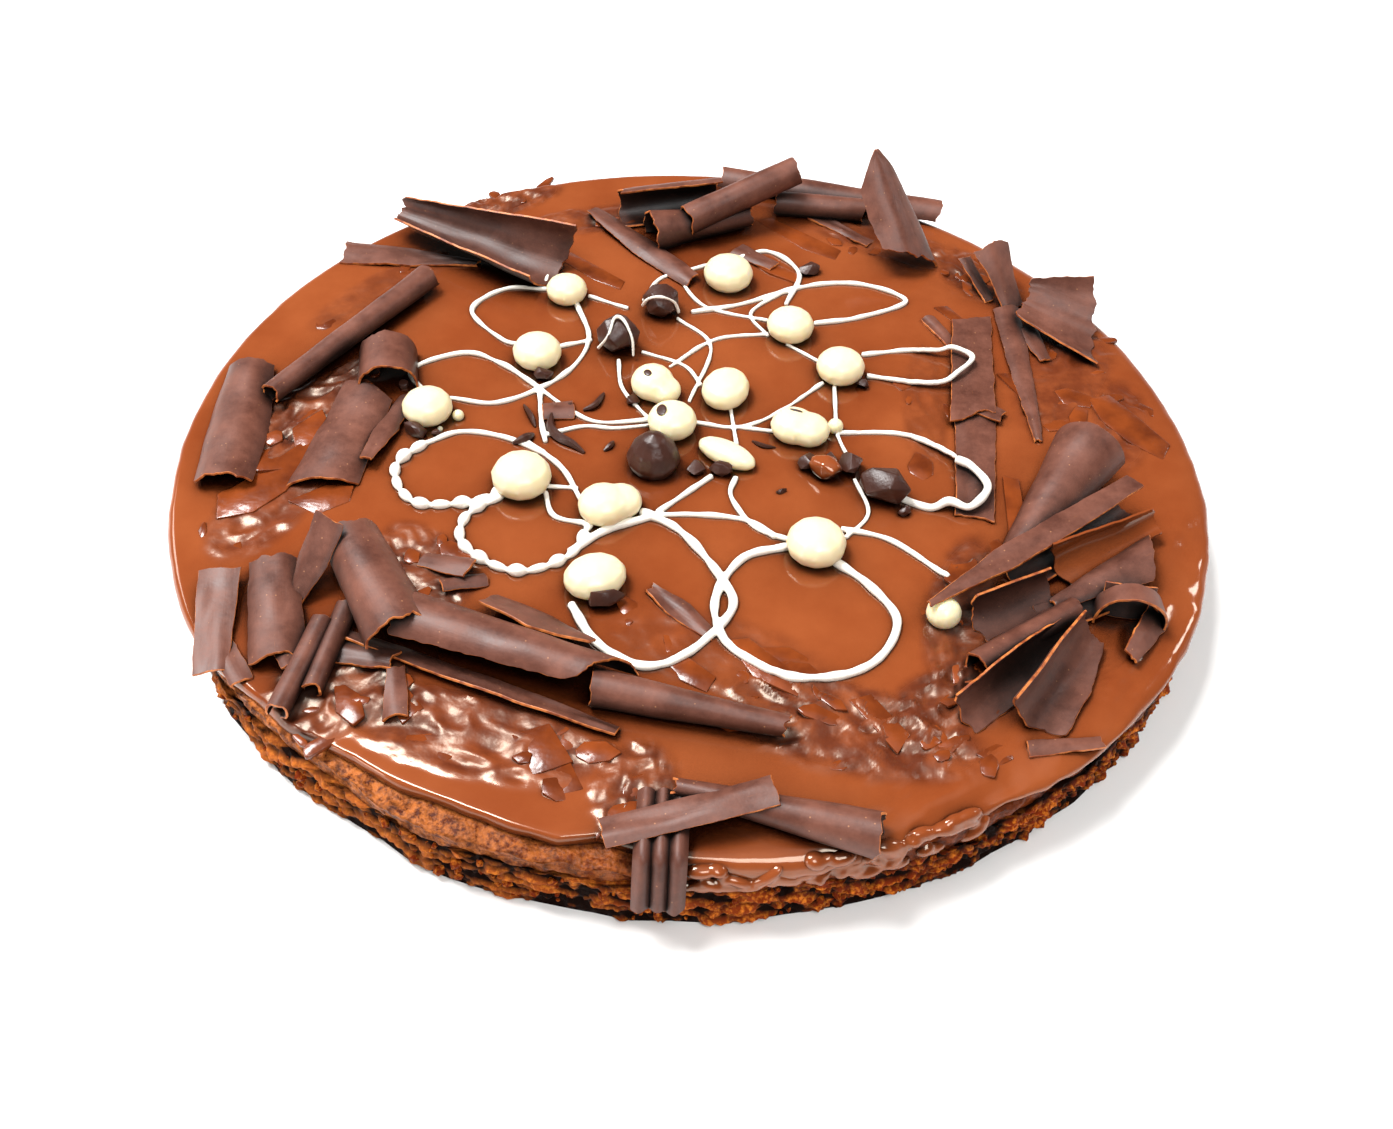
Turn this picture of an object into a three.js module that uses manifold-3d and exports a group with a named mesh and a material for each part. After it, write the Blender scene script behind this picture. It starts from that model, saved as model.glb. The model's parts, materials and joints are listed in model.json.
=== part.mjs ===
// A flat round chocolate cake, 26 cm across. A dark crumbly sponge carries a thin layer of mousse
// and a poured milk chocolate glaze. On the glaze lie white chocolate drops, a white flower piped
// in one thin line, dark chocolate chunks and a wreath of shaved dark chocolate curls.
// Millimetres, +Z up. The origin is the middle of the underside and the front faces -Y.
import * as THREE from 'three';
import { ConvexGeometry } from 'three/addons/geometries/ConvexGeometry.js';
import { mergeVertices } from 'three/addons/utils/BufferGeometryUtils.js';
import Module from 'manifold-3d';

const wasm = await Module();
wasm.setup();

// Driving dimensions
const CAKE_RADIUS = 130;
const SPONGE_HEIGHT = 12.4;
const MOUSSE_INSET = 1.2;
const MOUSSE_HEIGHT = 3.7;
const GLAZE_THICKNESS = 3.3;
const GAP = 0.3;

const MOUSSE_BOTTOM = SPONGE_HEIGHT + GAP;
const MOUSSE_TOP = MOUSSE_BOTTOM + MOUSSE_HEIGHT;
const GLAZE_BOTTOM = MOUSSE_TOP + GAP;
const GLAZE_TOP = GLAZE_BOTTOM + GLAZE_THICKNESS;

const RIM_SEGMENTS = 96;
const CRUMB_DEPTH = 1.1;
const CRUMB_ROWS = 4;
const MOUSSE_WAVE = 0.6;
const MOUSSE_WAVES_ROUND = [9, 23];
const MOUSSE_ROWS = 2;

const PIPED_WIDTH = 2.3;
const PIPED_RISE = 1.2;
const PIPED_STEP = 7;
const PIPED_SIDES = 6;

const FLAKE_THICKNESS = 1.0;
const SHAVING_THICKNESS = 1.2;
const SHAVING_ARC_STEP = THREE.MathUtils.degToRad(34);
const SHAVING_LENGTH_STEP = 15;
const TORN_END = 1.3;
const TORN_SIDE = 0.5;
const TORN_LENGTH = 20;

// Seeds of the random draws
const CRUMB_SEED = 11;
const CHUNK_SEED = 101;
const FLAKE_SEED = 201;
const CURL_SEED = 301;

// The outline of the cake, as bearing in degrees from +X and radius: it isn't quite round
const SPONGE_EDGE = [
  [0, 128],
  [200, 129],
  [216, 129],
  [238, 126],
  [262, 123.5],
  [290, 122.5],
  [305, 124],
  [330, 126.5],
  [360, 128],
];

// Where the glaze stops: it hangs over the sponge at the back and sides and falls short of it at
// the front, where the mousse shows
const GLAZE_EDGE = [
  [0, 130],
  [212, 131],
  [226, 126],
  [237, 121.5],
  [250, 119.5],
  [258, 120],
  [263, 117],
  [272, 121.5],
  [286, 122.5],
  [297, 121.5],
  [318, 126],
  [338, 129],
  [360, 130],
];

// The bends of the glaze's rounded lip: how far in from its edge, and its share of the thickness
const LIP_BENDS = [
  [1.6, 0],
  [0, 0.35],
  [0.5, 0.7],
  [2.2, 1],
];

// White chocolate drops: place, width, and where it isn't round its stretch, turn and second lobe, or
// how tall it is as a share of its width
const WHITE_DROPS = [
  { at: [-40, 60], across: 12.2 },
  { at: [6, 71.5], across: 15 },
  { at: [24, 49], across: 13.8 },
  { at: [37.5, 32], across: 13.8 },
  { at: [-45, 31], across: 13.8 },
  { at: [-70.5, 6], across: 13.6 },
  { at: [-13, 21], across: 12.8, stretch: 0.95, lobe: [3, -2, 10] },
  { at: [6.5, 20], across: 13, stretch: 1.2, turn: 70 },
  { at: [-7, 6], across: 13.4 },
  { at: [24.5, 7], across: 12.4, lobe: [4, -1, 11.5] },
  { at: [7.5, -4], across: 8, stretch: 2.2, turn: -30 },
  { at: [-43, -18], across: 15.4 },
  { at: [-22, -26], across: 13.2, lobe: [4, 2, 11] },
  { at: [-22, -49.5], across: 13, stretch: 1.2, turn: 25 },
  { at: [29.5, -35], across: 15 },
  { at: [58.5, -54], across: 8.6, tall: 0.66 },
];
const DROP_HEIGHT_SHARE = 0.53;
const DROP_FOOT_LATITUDE = -48;
const DROP_RINGS = 5;
const DROP_SIDES = 12;

// The dark drop, with its outline from the foot to the tip as shares of its radius and height
const DARK_DROP = { at: [-11, -8], across: 14, height: 10.5 };
const DARK_DROP_OUTLINE = [[0, 0], [0.8, 0], [1, 0.28], [0.8, 0.6], [0.4, 0.88], [0, 1]];

// Dark chocolate chunks: place, the sizes of the box that each fills, and turn
const DARK_CHUNKS = [
  { at: [-23.5, 39], size: [12.5, 12.5, 10], turn: 20 },
  { at: [-12.5, 56], size: [12, 11.5, 8.5], turn: 50 },
  { at: [47, -14.5], size: [14, 11, 8.5], turn: -25 },
  { at: [32.5, -8], size: [8, 10, 6], turn: 60 },
];
const CHUNK_CORNERS = 14;

// The piped flower: each line runs through a few points
const PIPED_LINES = [
  [[-47, 63], [-58, 62], [-66, 51], [-56, 39], [-50, 37]],
  [[-37, 57], [-32, 42], [-35, 29], [-43, 19], [-54, 12], [-66, 13]],
  [[-74, 15], [-78, 24], [-65, 32], [-54, 28], [-43, 19], [-34, 11], [-26, 7], [-13, 9]],
  [[-43, 19], [-41, 6], [-39, -2]],
  [[-39, -6], [-50, -1], [-61, 0], [-71, -6], [-75, -16], [-66, -27], [-54, -25], [-48, -21]],
  [[-44, -2], [-34, -11], [-28, -22]],
  [[-37, -20], [-34, -28], [-26, -30]],
  [[-47, -22], [-55, -30], [-54, -40], [-41, -47], [-29, -41], [-25, -30]],
  [[-29, -40], [-21, -32], [-9, -26]],
  [[-13, -25], [-3, -31], [7, -45], [10, -55], [1, -68], [-9, -73], [-20, -67], [-27, -56]],
  [[23, -34], [12, -39], [6, -53], [10, -66], [25, -74], [41, -69], [48, -56], [42, -45], [34, -38]],
  [[36, -27], [48, -30], [57, -37]],
  [[40, -9], [43, -21], [37, -30]],
  [[38, 11], [53, 9], [61, 4]],
  [[61, -18], [55, -16]],
  [[44, 41], [56, 44], [62, 43]],
  [[62, 29], [45, 32]],
  [[31, 54], [44, 58], [58, 67], [46, 74], [30, 72], [10, 61], [-4, 56]],
  [[8, 83], [18, 88], [27, 78], [23, 62]],
  [[22, 68], [13, 57], [18, 47]],
  [[18, 54], [0, 59], [-8, 70]],
  [[-18, 60], [-14, 70], [-8, 74]],
  [[-8, 53], [2, 41], [-3, 17]],
  [[18, 48], [3, 44], [-9, 31]],
  [[-23, 33], [-21, 21], [-13, 9]],
  [[33, 28], [20, 14], [10, 8], [-1, 9]],
  [[36, 27], [36, 13]],
  [[8, 16], [10, 1]],
  [[4, -11], [-9, -25], [1, -25], [13, -26]],
  [[10, -11], [9, -18], [15, -28], [24, -32]],
];

// Flat flakes that lie stuck in the glaze: middle, heading, length and width
const FLAKES = [
  { at: [71, 65], heading: -50, length: 14, width: 6 },
  { at: [27, 97], heading: -36, length: 30, width: 7 },
  { at: [-106, -22], heading: 60, length: 34, width: 12 },
  { at: [115, 17], heading: -45, length: 22, width: 11 },
  { at: [-2, -57], heading: -40, length: 20, width: 5 },
  { at: [2, -80], heading: -20, length: 12, width: 7 },
  { at: [20, -80], heading: -30, length: 20, width: 9 },
  { at: [-29, -99], heading: -20, length: 13, width: 10 },
  { at: [-60, -92], heading: -25, length: 12, width: 8 },
  { at: [-46, -84], heading: -19, length: 68, width: 4 },
  { at: [44, -85], heading: -40, length: 16, width: 9 },
  { at: [101, 22], heading: 10, length: 16, width: 10 },
];
const FLAKE_CORNERS = 7;
const FLAKE_RAGGEDNESS = 0.6;

// Shaved curls. "at" is the middle of the curl, "heading" the way that its roll runs, "rise" its
// slope and "lift" the height of its lowest point over the glaze. Width, across the shaving before
// it rolled up, and roll radius are given at even steps from end to end. "turn" is the side of the
// roll where the middle of the shaving lies: 90 is up, -90 down and 0 left, and up is where none is
// given. "slant" is how far one side runs ahead of the other at each end. A curl makes way for those
// before it.
const UP = 90;
const CURLS = [
  {
    name: 'left_half_tube', at: [-117.5, -2.5], heading: -84, length: 45,
    width: [13, 18, 16], radius: [8, 9],
  },
  {
    name: 'left_sheet', at: [-89.5, -4.5], heading: -97, length: 36,
    width: [15, 18], radius: [13, 13], slant: [5, -4],
  },
  { name: 'left_arch', at: [-84, 22], heading: -79, length: 15, width: [24, 25], radius: [7.3, 7.8] },
  {
    name: 'left_long_roll', at: [-95.5, 34], heading: 60, length: 63,
    width: [13, 17], radius: [2.6, 3.4], turn: 60,
  },
  {
    name: 'front_left_arch', at: [-71, -58], heading: -59, length: 34,
    width: [17, 22], radius: [6.5, 8], lift: 5,
  },
  {
    name: 'front_long_sheet', at: [-37.5, -74], heading: -16, length: 48,
    width: [22, 16], radius: [7.5, 6], turn: 62, slant: [0, 13],
  },
  { name: 'front_roll', at: [1.5, -85.5], heading: -10, length: 42, width: [20, 9], radius: [4, 2.2] },
  {
    name: 'cracked_sheet', at: [-92.5, -64], heading: -74, length: 30,
    width: [11, 14], radius: [9, 9], lift: 1,
  },
  {
    name: 'edge_shard', at: [-105, -68], heading: -80, length: 28,
    width: [9.5, 7.5], radius: [22, 22], rise: -6,
  },
  {
    name: 'front_left_roll', at: [-83, -80], heading: -99, length: 25,
    width: [12, 11], radius: [2.4, 2.2], turn: 60,
  },
  {
    name: 'back_left_scroll', at: [-67.5, 76.5], heading: -22, length: 52,
    width: [10, 34], radius: [4, 10], turn: -66, slant: [0, -6],
  },
  {
    name: 'back_left_sheet', at: [-71, 90], heading: -17, length: 34,
    width: [6, 6], radius: [5, 5], lift: 1,
  },
  {
    name: 'back_left_shard', at: [-87.5, 74.2], heading: -3, length: 40,
    width: [11, 8, 2], radius: [40, 40],
  },
  {
    name: 'back_rising_roll', at: [9, 102], heading: 31, length: 38,
    width: [22, 20], radius: [4.2, 4], rise: 11, lift: 3,
  },
  {
    name: 'back_roll', at: [-3, 95.5], heading: 22, length: 31,
    width: [26, 20, 14], radius: [6, 4, 3],
  },
  {
    name: 'back_loop', at: [-12.5, 104], heading: 18, length: 31,
    width: [20, 22], radius: [5.5, 5.5], turn: -15,
  },
  {
    name: 'back_standing_leaf', at: [54.5, 90.5], heading: -55, length: 32,
    width: [2, 17, 20, 19], radius: [6, 12], rise: -52, slant: [0, 9],
  },
  {
    name: 'back_short_roll', at: [33.5, 110], heading: -3, length: 27,
    width: [16, 16], radius: [3.4, 3.4],
  },
  {
    name: 'back_edge_strip', at: [37, 118.5], heading: -11, length: 70,
    width: [12, 13], radius: [4.5, 5], lift: 1,
  },
  {
    name: 'back_strip', at: [-20.5, 86.5], heading: -42, length: 46,
    width: [5, 9, 6], radius: [7, 7], twist: 30,
  },
  {
    name: 'right_fan', at: [102, 57], heading: -26, length: 21,
    width: [13, 29], radius: [12, 16], turn: -62, slant: [0, 10],
  },
  {
    name: 'right_tall_shard', at: [85.3, 73], heading: -58, length: 19,
    width: [13, 8, 7], radius: [14, 14], rise: -42,
  },
  {
    name: 'right_strip', at: [88, 37.5], heading: -88, length: 57,
    width: [8, 7, 5, 2], radius: [6, 5],
  },
  {
    name: 'right_upper_sheet', at: [74.3, 37.5], heading: -95.5, length: 45,
    width: [11, 12], radius: [70, 70], rise: 2, slant: [-4, -6],
  },
  {
    name: 'right_lower_sheet', at: [71.3, -1], heading: -96, length: 40,
    width: [11, 9.5], radius: [70, 70],
  },
  {
    name: 'right_blade', at: [81, -34.6], heading: 37.5, length: 67,
    width: [1.5, 6.5, 6.5, 5], radius: [30, 30], rise: 3, lift: 6,
  },
  {
    name: 'right_cone', at: [88.3, -16], heading: -123, length: 44,
    width: [27, 8], radius: [9.2, 3.2], rise: -6,
  },
  {
    name: 'right_trough', at: [92, -29], heading: 40, length: 40,
    width: [10, 9], radius: [6, 5], turn: -80,
  },
  {
    name: 'right_ridge', at: [98.8, -40.5], heading: 31, length: 29,
    width: [3, 13], radius: [4, 8], turn: 95, lift: 1.5, slant: [0, 8],
  },
  {
    name: 'right_open_roll', at: [75.3, -51.3], heading: 32, length: 21,
    width: [14, 12], radius: [6, 5], turn: -45,
  },
  {
    name: 'right_short_roll', at: [101.7, -50.7], heading: -95, length: 5.5,
    width: [26, 28], radius: [7.5, 8],
  },
  {
    name: 'right_shell', at: [83.5, -73], heading: 57, length: 31,
    width: [20, 18, 10], radius: [8.5, 8, 7], turn: -45, slant: [6, 0],
  },
  {
    name: 'right_long_sheet', at: [75.5, -69.5], heading: 44, length: 40,
    width: [11, 12, 7], radius: [6.5, 6], turn: -50,
  },
  {
    name: 'front_edge_strip', at: [2.5, -112.5], heading: 15.5, length: 36,
    width: [7, 7], radius: [12, 12], rise: 7, lift: 2.5,
  },
  {
    name: 'front_edge_roll', at: [20, -110.2], heading: -12, length: 42,
    width: [5, 22], radius: [1.5, 4.6],
  },
];

// The fluted shaving that lies on the glaze at the front and hangs down over its edge; its path is
// given as places along Y and Z
const HANGING_PATH = [[-109, 21.6], [-119.6, 21.8], [-122.6, 19.2], [-126.2, 10.6]];
const HANGING = { middle: -2.7, width: 10.5, flutes: 3, depth: 1.6 };
const FLUTE_STEPS = 4;

const CHOCOLATE_SPONGE = { color: '#5a2c16', roughness: 0.9 };
const CHOCOLATE_MOUSSE = { color: '#4a2418', roughness: 0.55 };
const MILK_GLAZE = { color: '#8a4423', roughness: 0.15 };
const WHITE_CHOCOLATE = { color: '#f3e6b4', roughness: 0.3 };
const DARK_CHOCOLATE = { color: '#40281f', roughness: 0.45 };

const toRadians = THREE.MathUtils.degToRad;
const lerp = THREE.MathUtils.lerp;

// A repeatable source of random numbers from 0 to 1
function randomFrom(seed) {
  let state = seed;
  return () => {
    state = (Math.imul(state, 1664525) + 1013904223) >>> 0;
    return state / 2 ** 32;
  };
}

// Merges the shared vertices of a closed mesh, drops flat triangles and turns its faces outwards
function closed(geometry) {
  geometry.deleteAttribute('normal');
  geometry.deleteAttribute('uv');
  const merged = mergeVertices(geometry);
  const position = merged.getAttribute('position');
  const index = merged.getIndex().array;
  const corners = [];
  let volume = 0;
  for (let i = 0; i < index.length; i += 3) {
    const [a, b, c] = index.slice(i, i + 3);
    if (a === b || b === c || c === a) continue;
    const [p, q, r] = [a, b, c].map((k) => new THREE.Vector3().fromBufferAttribute(position, k));
    volume += p.dot(q.cross(r));
    corners.push(a, b, c);
  }
  if (volume < 0) corners.reverse();
  merged.setIndex(corners);
  return merged;
}

function toSolid(geometry) {
  const shape = closed(geometry);
  const vertProperties = new Float32Array(shape.getAttribute('position').array);
  const triVerts = new Uint32Array(shape.getIndex().array);
  return new wasm.Manifold(new wasm.Mesh({ numProp: 3, vertProperties, triVerts }));
}

function toGeometry(solid) {
  const mesh = solid.getMesh();
  const geometry = new THREE.BufferGeometry();
  geometry.setAttribute('position', new THREE.BufferAttribute(mesh.vertProperties, 3));
  geometry.setIndex(new THREE.BufferAttribute(mesh.triVerts, 1));
  return geometry;
}

// Moves every vertex of a geometry to where "place" puts it
function reshape(geometry, place) {
  const position = geometry.getAttribute('position');
  const point = new THREE.Vector3();
  for (let i = 0; i < position.count; i += 1) {
    point.fromBufferAttribute(position, i);
    place(point);
    position.setXYZ(i, point.x, point.y, point.z);
  }
  return geometry;
}

const bearingOf = (point) => Math.atan2(point.y, point.x);

function moveRadially(point, distance) {
  const radius = Math.hypot(point.x, point.y);
  point.x *= (radius + distance) / radius;
  point.y *= (radius + distance) / radius;
}

// The radius of an outline at a bearing
function edgeRadius(edge, bearing) {
  const degrees = THREE.MathUtils.euclideanModulo(THREE.MathUtils.radToDeg(bearing), 360);
  const next = edge.findIndex(([at]) => at > degrees);
  const [start, startRadius] = edge[next - 1];
  const [end, endRadius] = edge[next];
  return lerp(startRadius, endRadius, THREE.MathUtils.smoothstep(degrees, start, end));
}

// Fits a round solid to an outline; "relief" moves its side in or out
function fitEdge(geometry, edge, relief) {
  return reshape(closed(geometry), (point) => {
    if (Math.hypot(point.x, point.y) < CAKE_RADIUS / 2) return;
    moveRadially(point, edgeRadius(edge, bearingOf(point)) - CAKE_RADIUS + relief(point));
  });
}

// A flat layer with an upright side
function layer(bottom, height, rows, relief) {
  const cylinder = new THREE.CylinderGeometry(CAKE_RADIUS, CAKE_RADIUS, height, RIM_SEGMENTS, rows);
  cylinder.rotateX(Math.PI / 2);
  cylinder.translate(0, 0, bottom + height / 2);
  return fitEdge(cylinder, SPONGE_EDGE, relief);
}

function spongeLayer() {
  const random = randomFrom(CRUMB_SEED);
  return layer(0, SPONGE_HEIGHT, CRUMB_ROWS, () => CRUMB_DEPTH * (2 * random() - 1));
}

function mousseLayer() {
  const [slow, quick] = MOUSSE_WAVES_ROUND;
  return layer(MOUSSE_BOTTOM, MOUSSE_HEIGHT, MOUSSE_ROWS, (point) => {
    const bearing = bearingOf(point);
    return MOUSSE_WAVE * (Math.sin(slow * bearing) + Math.sin(quick * bearing + point.z)) - MOUSSE_INSET;
  });
}

// The poured glaze: a disc with a rounded lip
function glazeDisc() {
  const lip = LIP_BENDS.map(([inset, share]) => {
    return new THREE.Vector2(CAKE_RADIUS - inset, GLAZE_BOTTOM + share * GLAZE_THICKNESS);
  });
  const profile = [new THREE.Vector2(0, GLAZE_BOTTOM), ...lip, new THREE.Vector2(0, GLAZE_TOP)];
  const lathe = new THREE.LatheGeometry(profile, RIM_SEGMENTS);
  lathe.rotateX(Math.PI / 2);
  return fitEdge(lathe, GLAZE_EDGE, () => 0);
}

// A ball that sat down flat while it set; "spare" makes it larger all round
function ball(across, stretch, height, spare) {
  const foot = toRadians(DROP_FOOT_LATITUDE);
  const profile = [new THREE.Vector2(0, Math.sin(foot))];
  for (let i = 0; i <= DROP_RINGS; i += 1) {
    const angle = lerp(foot, Math.PI / 2, i / DROP_RINGS);
    profile.push(new THREE.Vector2(i === DROP_RINGS ? 0 : Math.cos(angle), Math.sin(angle)));
  }
  const lathe = new THREE.LatheGeometry(profile, DROP_SIDES);
  lathe.rotateX(Math.PI / 2);
  const share = 1 - Math.sin(foot);
  lathe.translate(0, 0, -Math.sin(foot));
  lathe.scale((across * stretch) / 2 + spare, across / 2 + spare, (height + 2 * spare) / share);
  return lathe.translate(0, 0, -spare);
}

function whiteDrop({ at, across, stretch = 1, turn = 0, tall = DROP_HEIGHT_SHARE, lobe }, spare) {
  const main = ball(across, stretch, tall * across, spare).rotateZ(toRadians(turn));
  let solid = toSolid(main);
  if (lobe) {
    const [x, y, lobeAcross] = lobe;
    const second = ball(lobeAcross, 1, tall * lobeAcross, spare).translate(x, y, 0);
    solid = solid.add(toSolid(second));
  }
  return solid.translate([at[0], at[1], GLAZE_TOP + GAP]);
}

function darkDrop({ at, across, height }, spare) {
  const profile = DARK_DROP_OUTLINE.map(([radius, rise]) => {
    const reach = radius > 0 ? (radius * across) / 2 + spare : 0;
    return new THREE.Vector2(reach, rise * (height + 2 * spare) - spare);
  });
  const lathe = new THREE.LatheGeometry(profile, DROP_SIDES);
  lathe.rotateX(Math.PI / 2);
  return toSolid(lathe).translate([at[0], at[1], GLAZE_TOP + GAP]);
}

// A broken chunk: the hull of seeded points on a ball that is stretched to the chunk's box
function darkChunk({ at, size, turn }, seed, spare) {
  const random = randomFrom(seed);
  const corners = [];
  for (let i = 0; i < CHUNK_CORNERS; i += 1) {
    const height = 1 - (2 * (i + 0.5)) / CHUNK_CORNERS;
    const angle = i * Math.PI * (3 - Math.sqrt(5)) + random();
    const ring = Math.sqrt(1 - height ** 2);
    corners.push(new THREE.Vector3(ring * Math.cos(angle), ring * Math.sin(angle), height));
  }
  const [x, y, z] = size.map((side) => side / 2 + spare);
  const hull = new ConvexGeometry(corners).scale(x, y, z).rotateZ(toRadians(turn));
  hull.computeBoundingBox();
  return toSolid(hull).translate([at[0], at[1], GLAZE_TOP + GAP - spare - hull.boundingBox.min.z]);
}

// A bead of piped chocolate, half sunk in the glaze
function pipedLine(points) {
  const curve = new THREE.CatmullRomCurve3(points.map(([x, y]) => new THREE.Vector3(x, y, GLAZE_TOP)));
  const section = new THREE.Shape();
  for (let i = 0; i < PIPED_SIDES; i += 1) {
    const angle = ((i + 0.5) * 2 * Math.PI) / PIPED_SIDES;
    const corner = [PIPED_RISE * Math.cos(angle), (PIPED_WIDTH / 2) * Math.sin(angle)];
    if (i === 0) section.moveTo(...corner);
    else section.lineTo(...corner);
  }
  const steps = Math.max(1, Math.round(curve.getLength() / PIPED_STEP));
  const options = { steps, extrudePath: curve, bevelEnabled: false };
  return toSolid(new THREE.ExtrudeGeometry(section, options));
}

// A value between those that are given at even steps
function spread(values, share) {
  const spot = share * (values.length - 1);
  const index = Math.min(Math.floor(spot), values.length - 2);
  return lerp(values[index], values[index + 1], spot - index);
}

// A flat flake with a ragged outline, half sunk in the glaze
function flake({ at, heading, length, width }, seed) {
  const random = randomFrom(seed);
  const outline = new THREE.Shape();
  for (let i = 0; i < FLAKE_CORNERS; i += 1) {
    const angle = (2 * Math.PI * (i + FLAKE_RAGGEDNESS * random())) / FLAKE_CORNERS;
    const corner = [(length / 2) * Math.cos(angle), (width / 2) * Math.sin(angle)];
    if (i === 0) outline.moveTo(...corner);
    else outline.lineTo(...corner);
  }
  const slab = new THREE.ExtrudeGeometry(outline, { depth: 2 * FLAKE_THICKNESS, bevelEnabled: false });
  slab.rotateZ(toRadians(heading));
  slab.translate(at[0], at[1], GLAZE_TOP - FLAKE_THICKNESS);
  return toSolid(slab);
}

// A shaving: a thin slab with torn ends, rolled about its length into part of a tube or cone and
// laid on the glaze; "spare" makes it larger all round
function shaving(curl, seed, spare) {
  const { at, heading, length, width, radius, turn = UP, twist = 0 } = curl;
  const { rise = 0, lift = 0, slant = [0, 0] } = curl;
  const random = randomFrom(seed);
  const ends = [0, 0.5, 1];
  const sweep = Math.max(...ends.map((share) => spread(width, share) / spread(radius, share)));
  const across = Math.max(3, Math.ceil(sweep / SHAVING_ARC_STEP));
  const along = Math.max(width.length - 1, 2, Math.round(length / SHAVING_LENGTH_STEP));
  const torn = (size) => size * Math.min(1, length / TORN_LENGTH) * (2 * random() - 1);
  const tornStart = Array.from({ length: across + 1 }, () => torn(TORN_END));
  const tornEnd = Array.from({ length: across + 1 }, () => torn(TORN_END));
  const tornSides = Array.from({ length: along + 1 }, () => [torn(TORN_SIDE), torn(TORN_SIDE)]);
  const slab = closed(new THREE.BoxGeometry(1, 1, SHAVING_THICKNESS + 2 * spare, along, across, 1));
  reshape(slab, (point) => {
    const share = point.x + 0.5;
    const column = Math.round((point.y + 0.5) * across);
    const row = Math.round(share * along);
    const roll = spread(radius, share);
    const wide = spread(width, share) + tornSides[row][point.y > 0 ? 1 : 0] + 2 * spare;
    const ahead = lerp(slant[0], slant[1], share) * point.y;
    const angle = toRadians(turn + twist * point.x) - (point.y * wide) / roll;
    const depth = roll + point.z;
    point.x = point.x * (length + 2 * spare) + ahead + lerp(tornStart[column], tornEnd[column], share);
    point.y = depth * Math.cos(angle);
    point.z = depth * Math.sin(angle);
  });
  slab.center();
  slab.rotateY(-toRadians(rise));
  slab.rotateZ(toRadians(heading));
  slab.computeBoundingBox();
  slab.translate(at[0], at[1], GLAZE_TOP + GAP + lift - spare - slab.boundingBox.min.z);
  return toSolid(slab);
}

// A shaving that wrinkled into narrow flutes, laid along a path
function flutedShaving({ middle, width, flutes, depth }, path) {
  const stops = path.map(([y, z]) => new THREE.Vector2(y, z));
  const last = stops.length - 1;
  const slab = closed(new THREE.BoxGeometry(1, SHAVING_THICKNESS, 1, FLUTE_STEPS * flutes, 1, last));
  reshape(slab, (point) => {
    const stop = Math.round((0.5 - point.z) * last);
    const before = stops[Math.max(stop - 1, 0)];
    const after = stops[Math.min(stop + 1, last)];
    const way = after.clone().sub(before).normalize();
    const wave = depth * Math.abs(Math.sin((point.x + 0.5) * flutes * Math.PI)) - point.y;
    point.x = middle + width * point.x;
    point.y = stops[stop].x + wave * way.y;
    point.z = stops[stop].y - wave * way.x;
  });
  return toSolid(slab);
}

// Cuts a piece back to stay clear of others and keeps its largest body
function clearOf(solid, clearings) {
  const rest = clearings.reduce((left, clearing) => left.subtract(clearing), solid);
  const bodies = rest.decompose();
  return bodies.reduce((largest, body) => (body.volume() > largest.volume() ? body : largest));
}

const cake = new THREE.Group();

function addNode(name, geometry, { color, roughness }) {
  const mesh = new THREE.Mesh(geometry, new THREE.MeshStandardMaterial({ color, roughness, metalness: 0 }));
  mesh.name = name;
  cake.add(mesh);
}

// Layers
addNode('sponge', spongeLayer(), CHOCOLATE_SPONGE);
addNode('mousse', mousseLayer(), CHOCOLATE_MOUSSE);

// Drops and chunks, each also grown by the gap to keep other pieces clear of it
const toppings = [];
const clearings = [];
WHITE_DROPS.forEach((drop, i) => {
  toppings.push({ name: `white_drop_${i + 1}`, solid: whiteDrop(drop, 0), finish: WHITE_CHOCOLATE });
  clearings.push(whiteDrop(drop, GAP));
});
toppings.push({ name: 'dark_drop', solid: darkDrop(DARK_DROP, 0), finish: DARK_CHOCOLATE });
clearings.push(darkDrop(DARK_DROP, GAP));
DARK_CHUNKS.forEach((chunk, i) => {
  const seed = CHUNK_SEED + i;
  toppings.push({ name: `dark_chunk_${i + 1}`, solid: darkChunk(chunk, seed, 0), finish: DARK_CHOCOLATE });
  clearings.push(darkChunk(chunk, seed, GAP));
});

// Curls
CURLS.forEach((curl, i) => {
  const seed = CURL_SEED + i;
  const solid = clearOf(shaving(curl, seed, 0), clearings);
  clearings.push(shaving(curl, seed, GAP));
  toppings.push({ name: `curl_${curl.name}`, solid, finish: DARK_CHOCOLATE });
});
const hanging = clearOf(flutedShaving(HANGING, HANGING_PATH), clearings);
toppings.push({ name: 'curl_front_hanging', solid: hanging, finish: DARK_CHOCOLATE });

// Glaze with its piped lines and flakes, which stop short of what lies on it
const raised = [...PIPED_LINES.map(pipedLine), ...FLAKES.map((piece, i) => flake(piece, FLAKE_SEED + i))];
const glaze = raised.reduce((poured, piece) => {
  const cleared = clearings.reduce((left, clearing) => left.subtract(clearing), piece);
  return poured.add(cleared);
}, toSolid(glazeDisc()));
addNode('glaze', toGeometry(glaze), MILK_GLAZE);
toppings.forEach(({ name, solid, finish }) => addNode(name, toGeometry(solid), finish));

export default cake;
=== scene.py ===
import json
import math
import random

import bpy
import numpy as np
from mathutils import Matrix, Vector, noise

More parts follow.
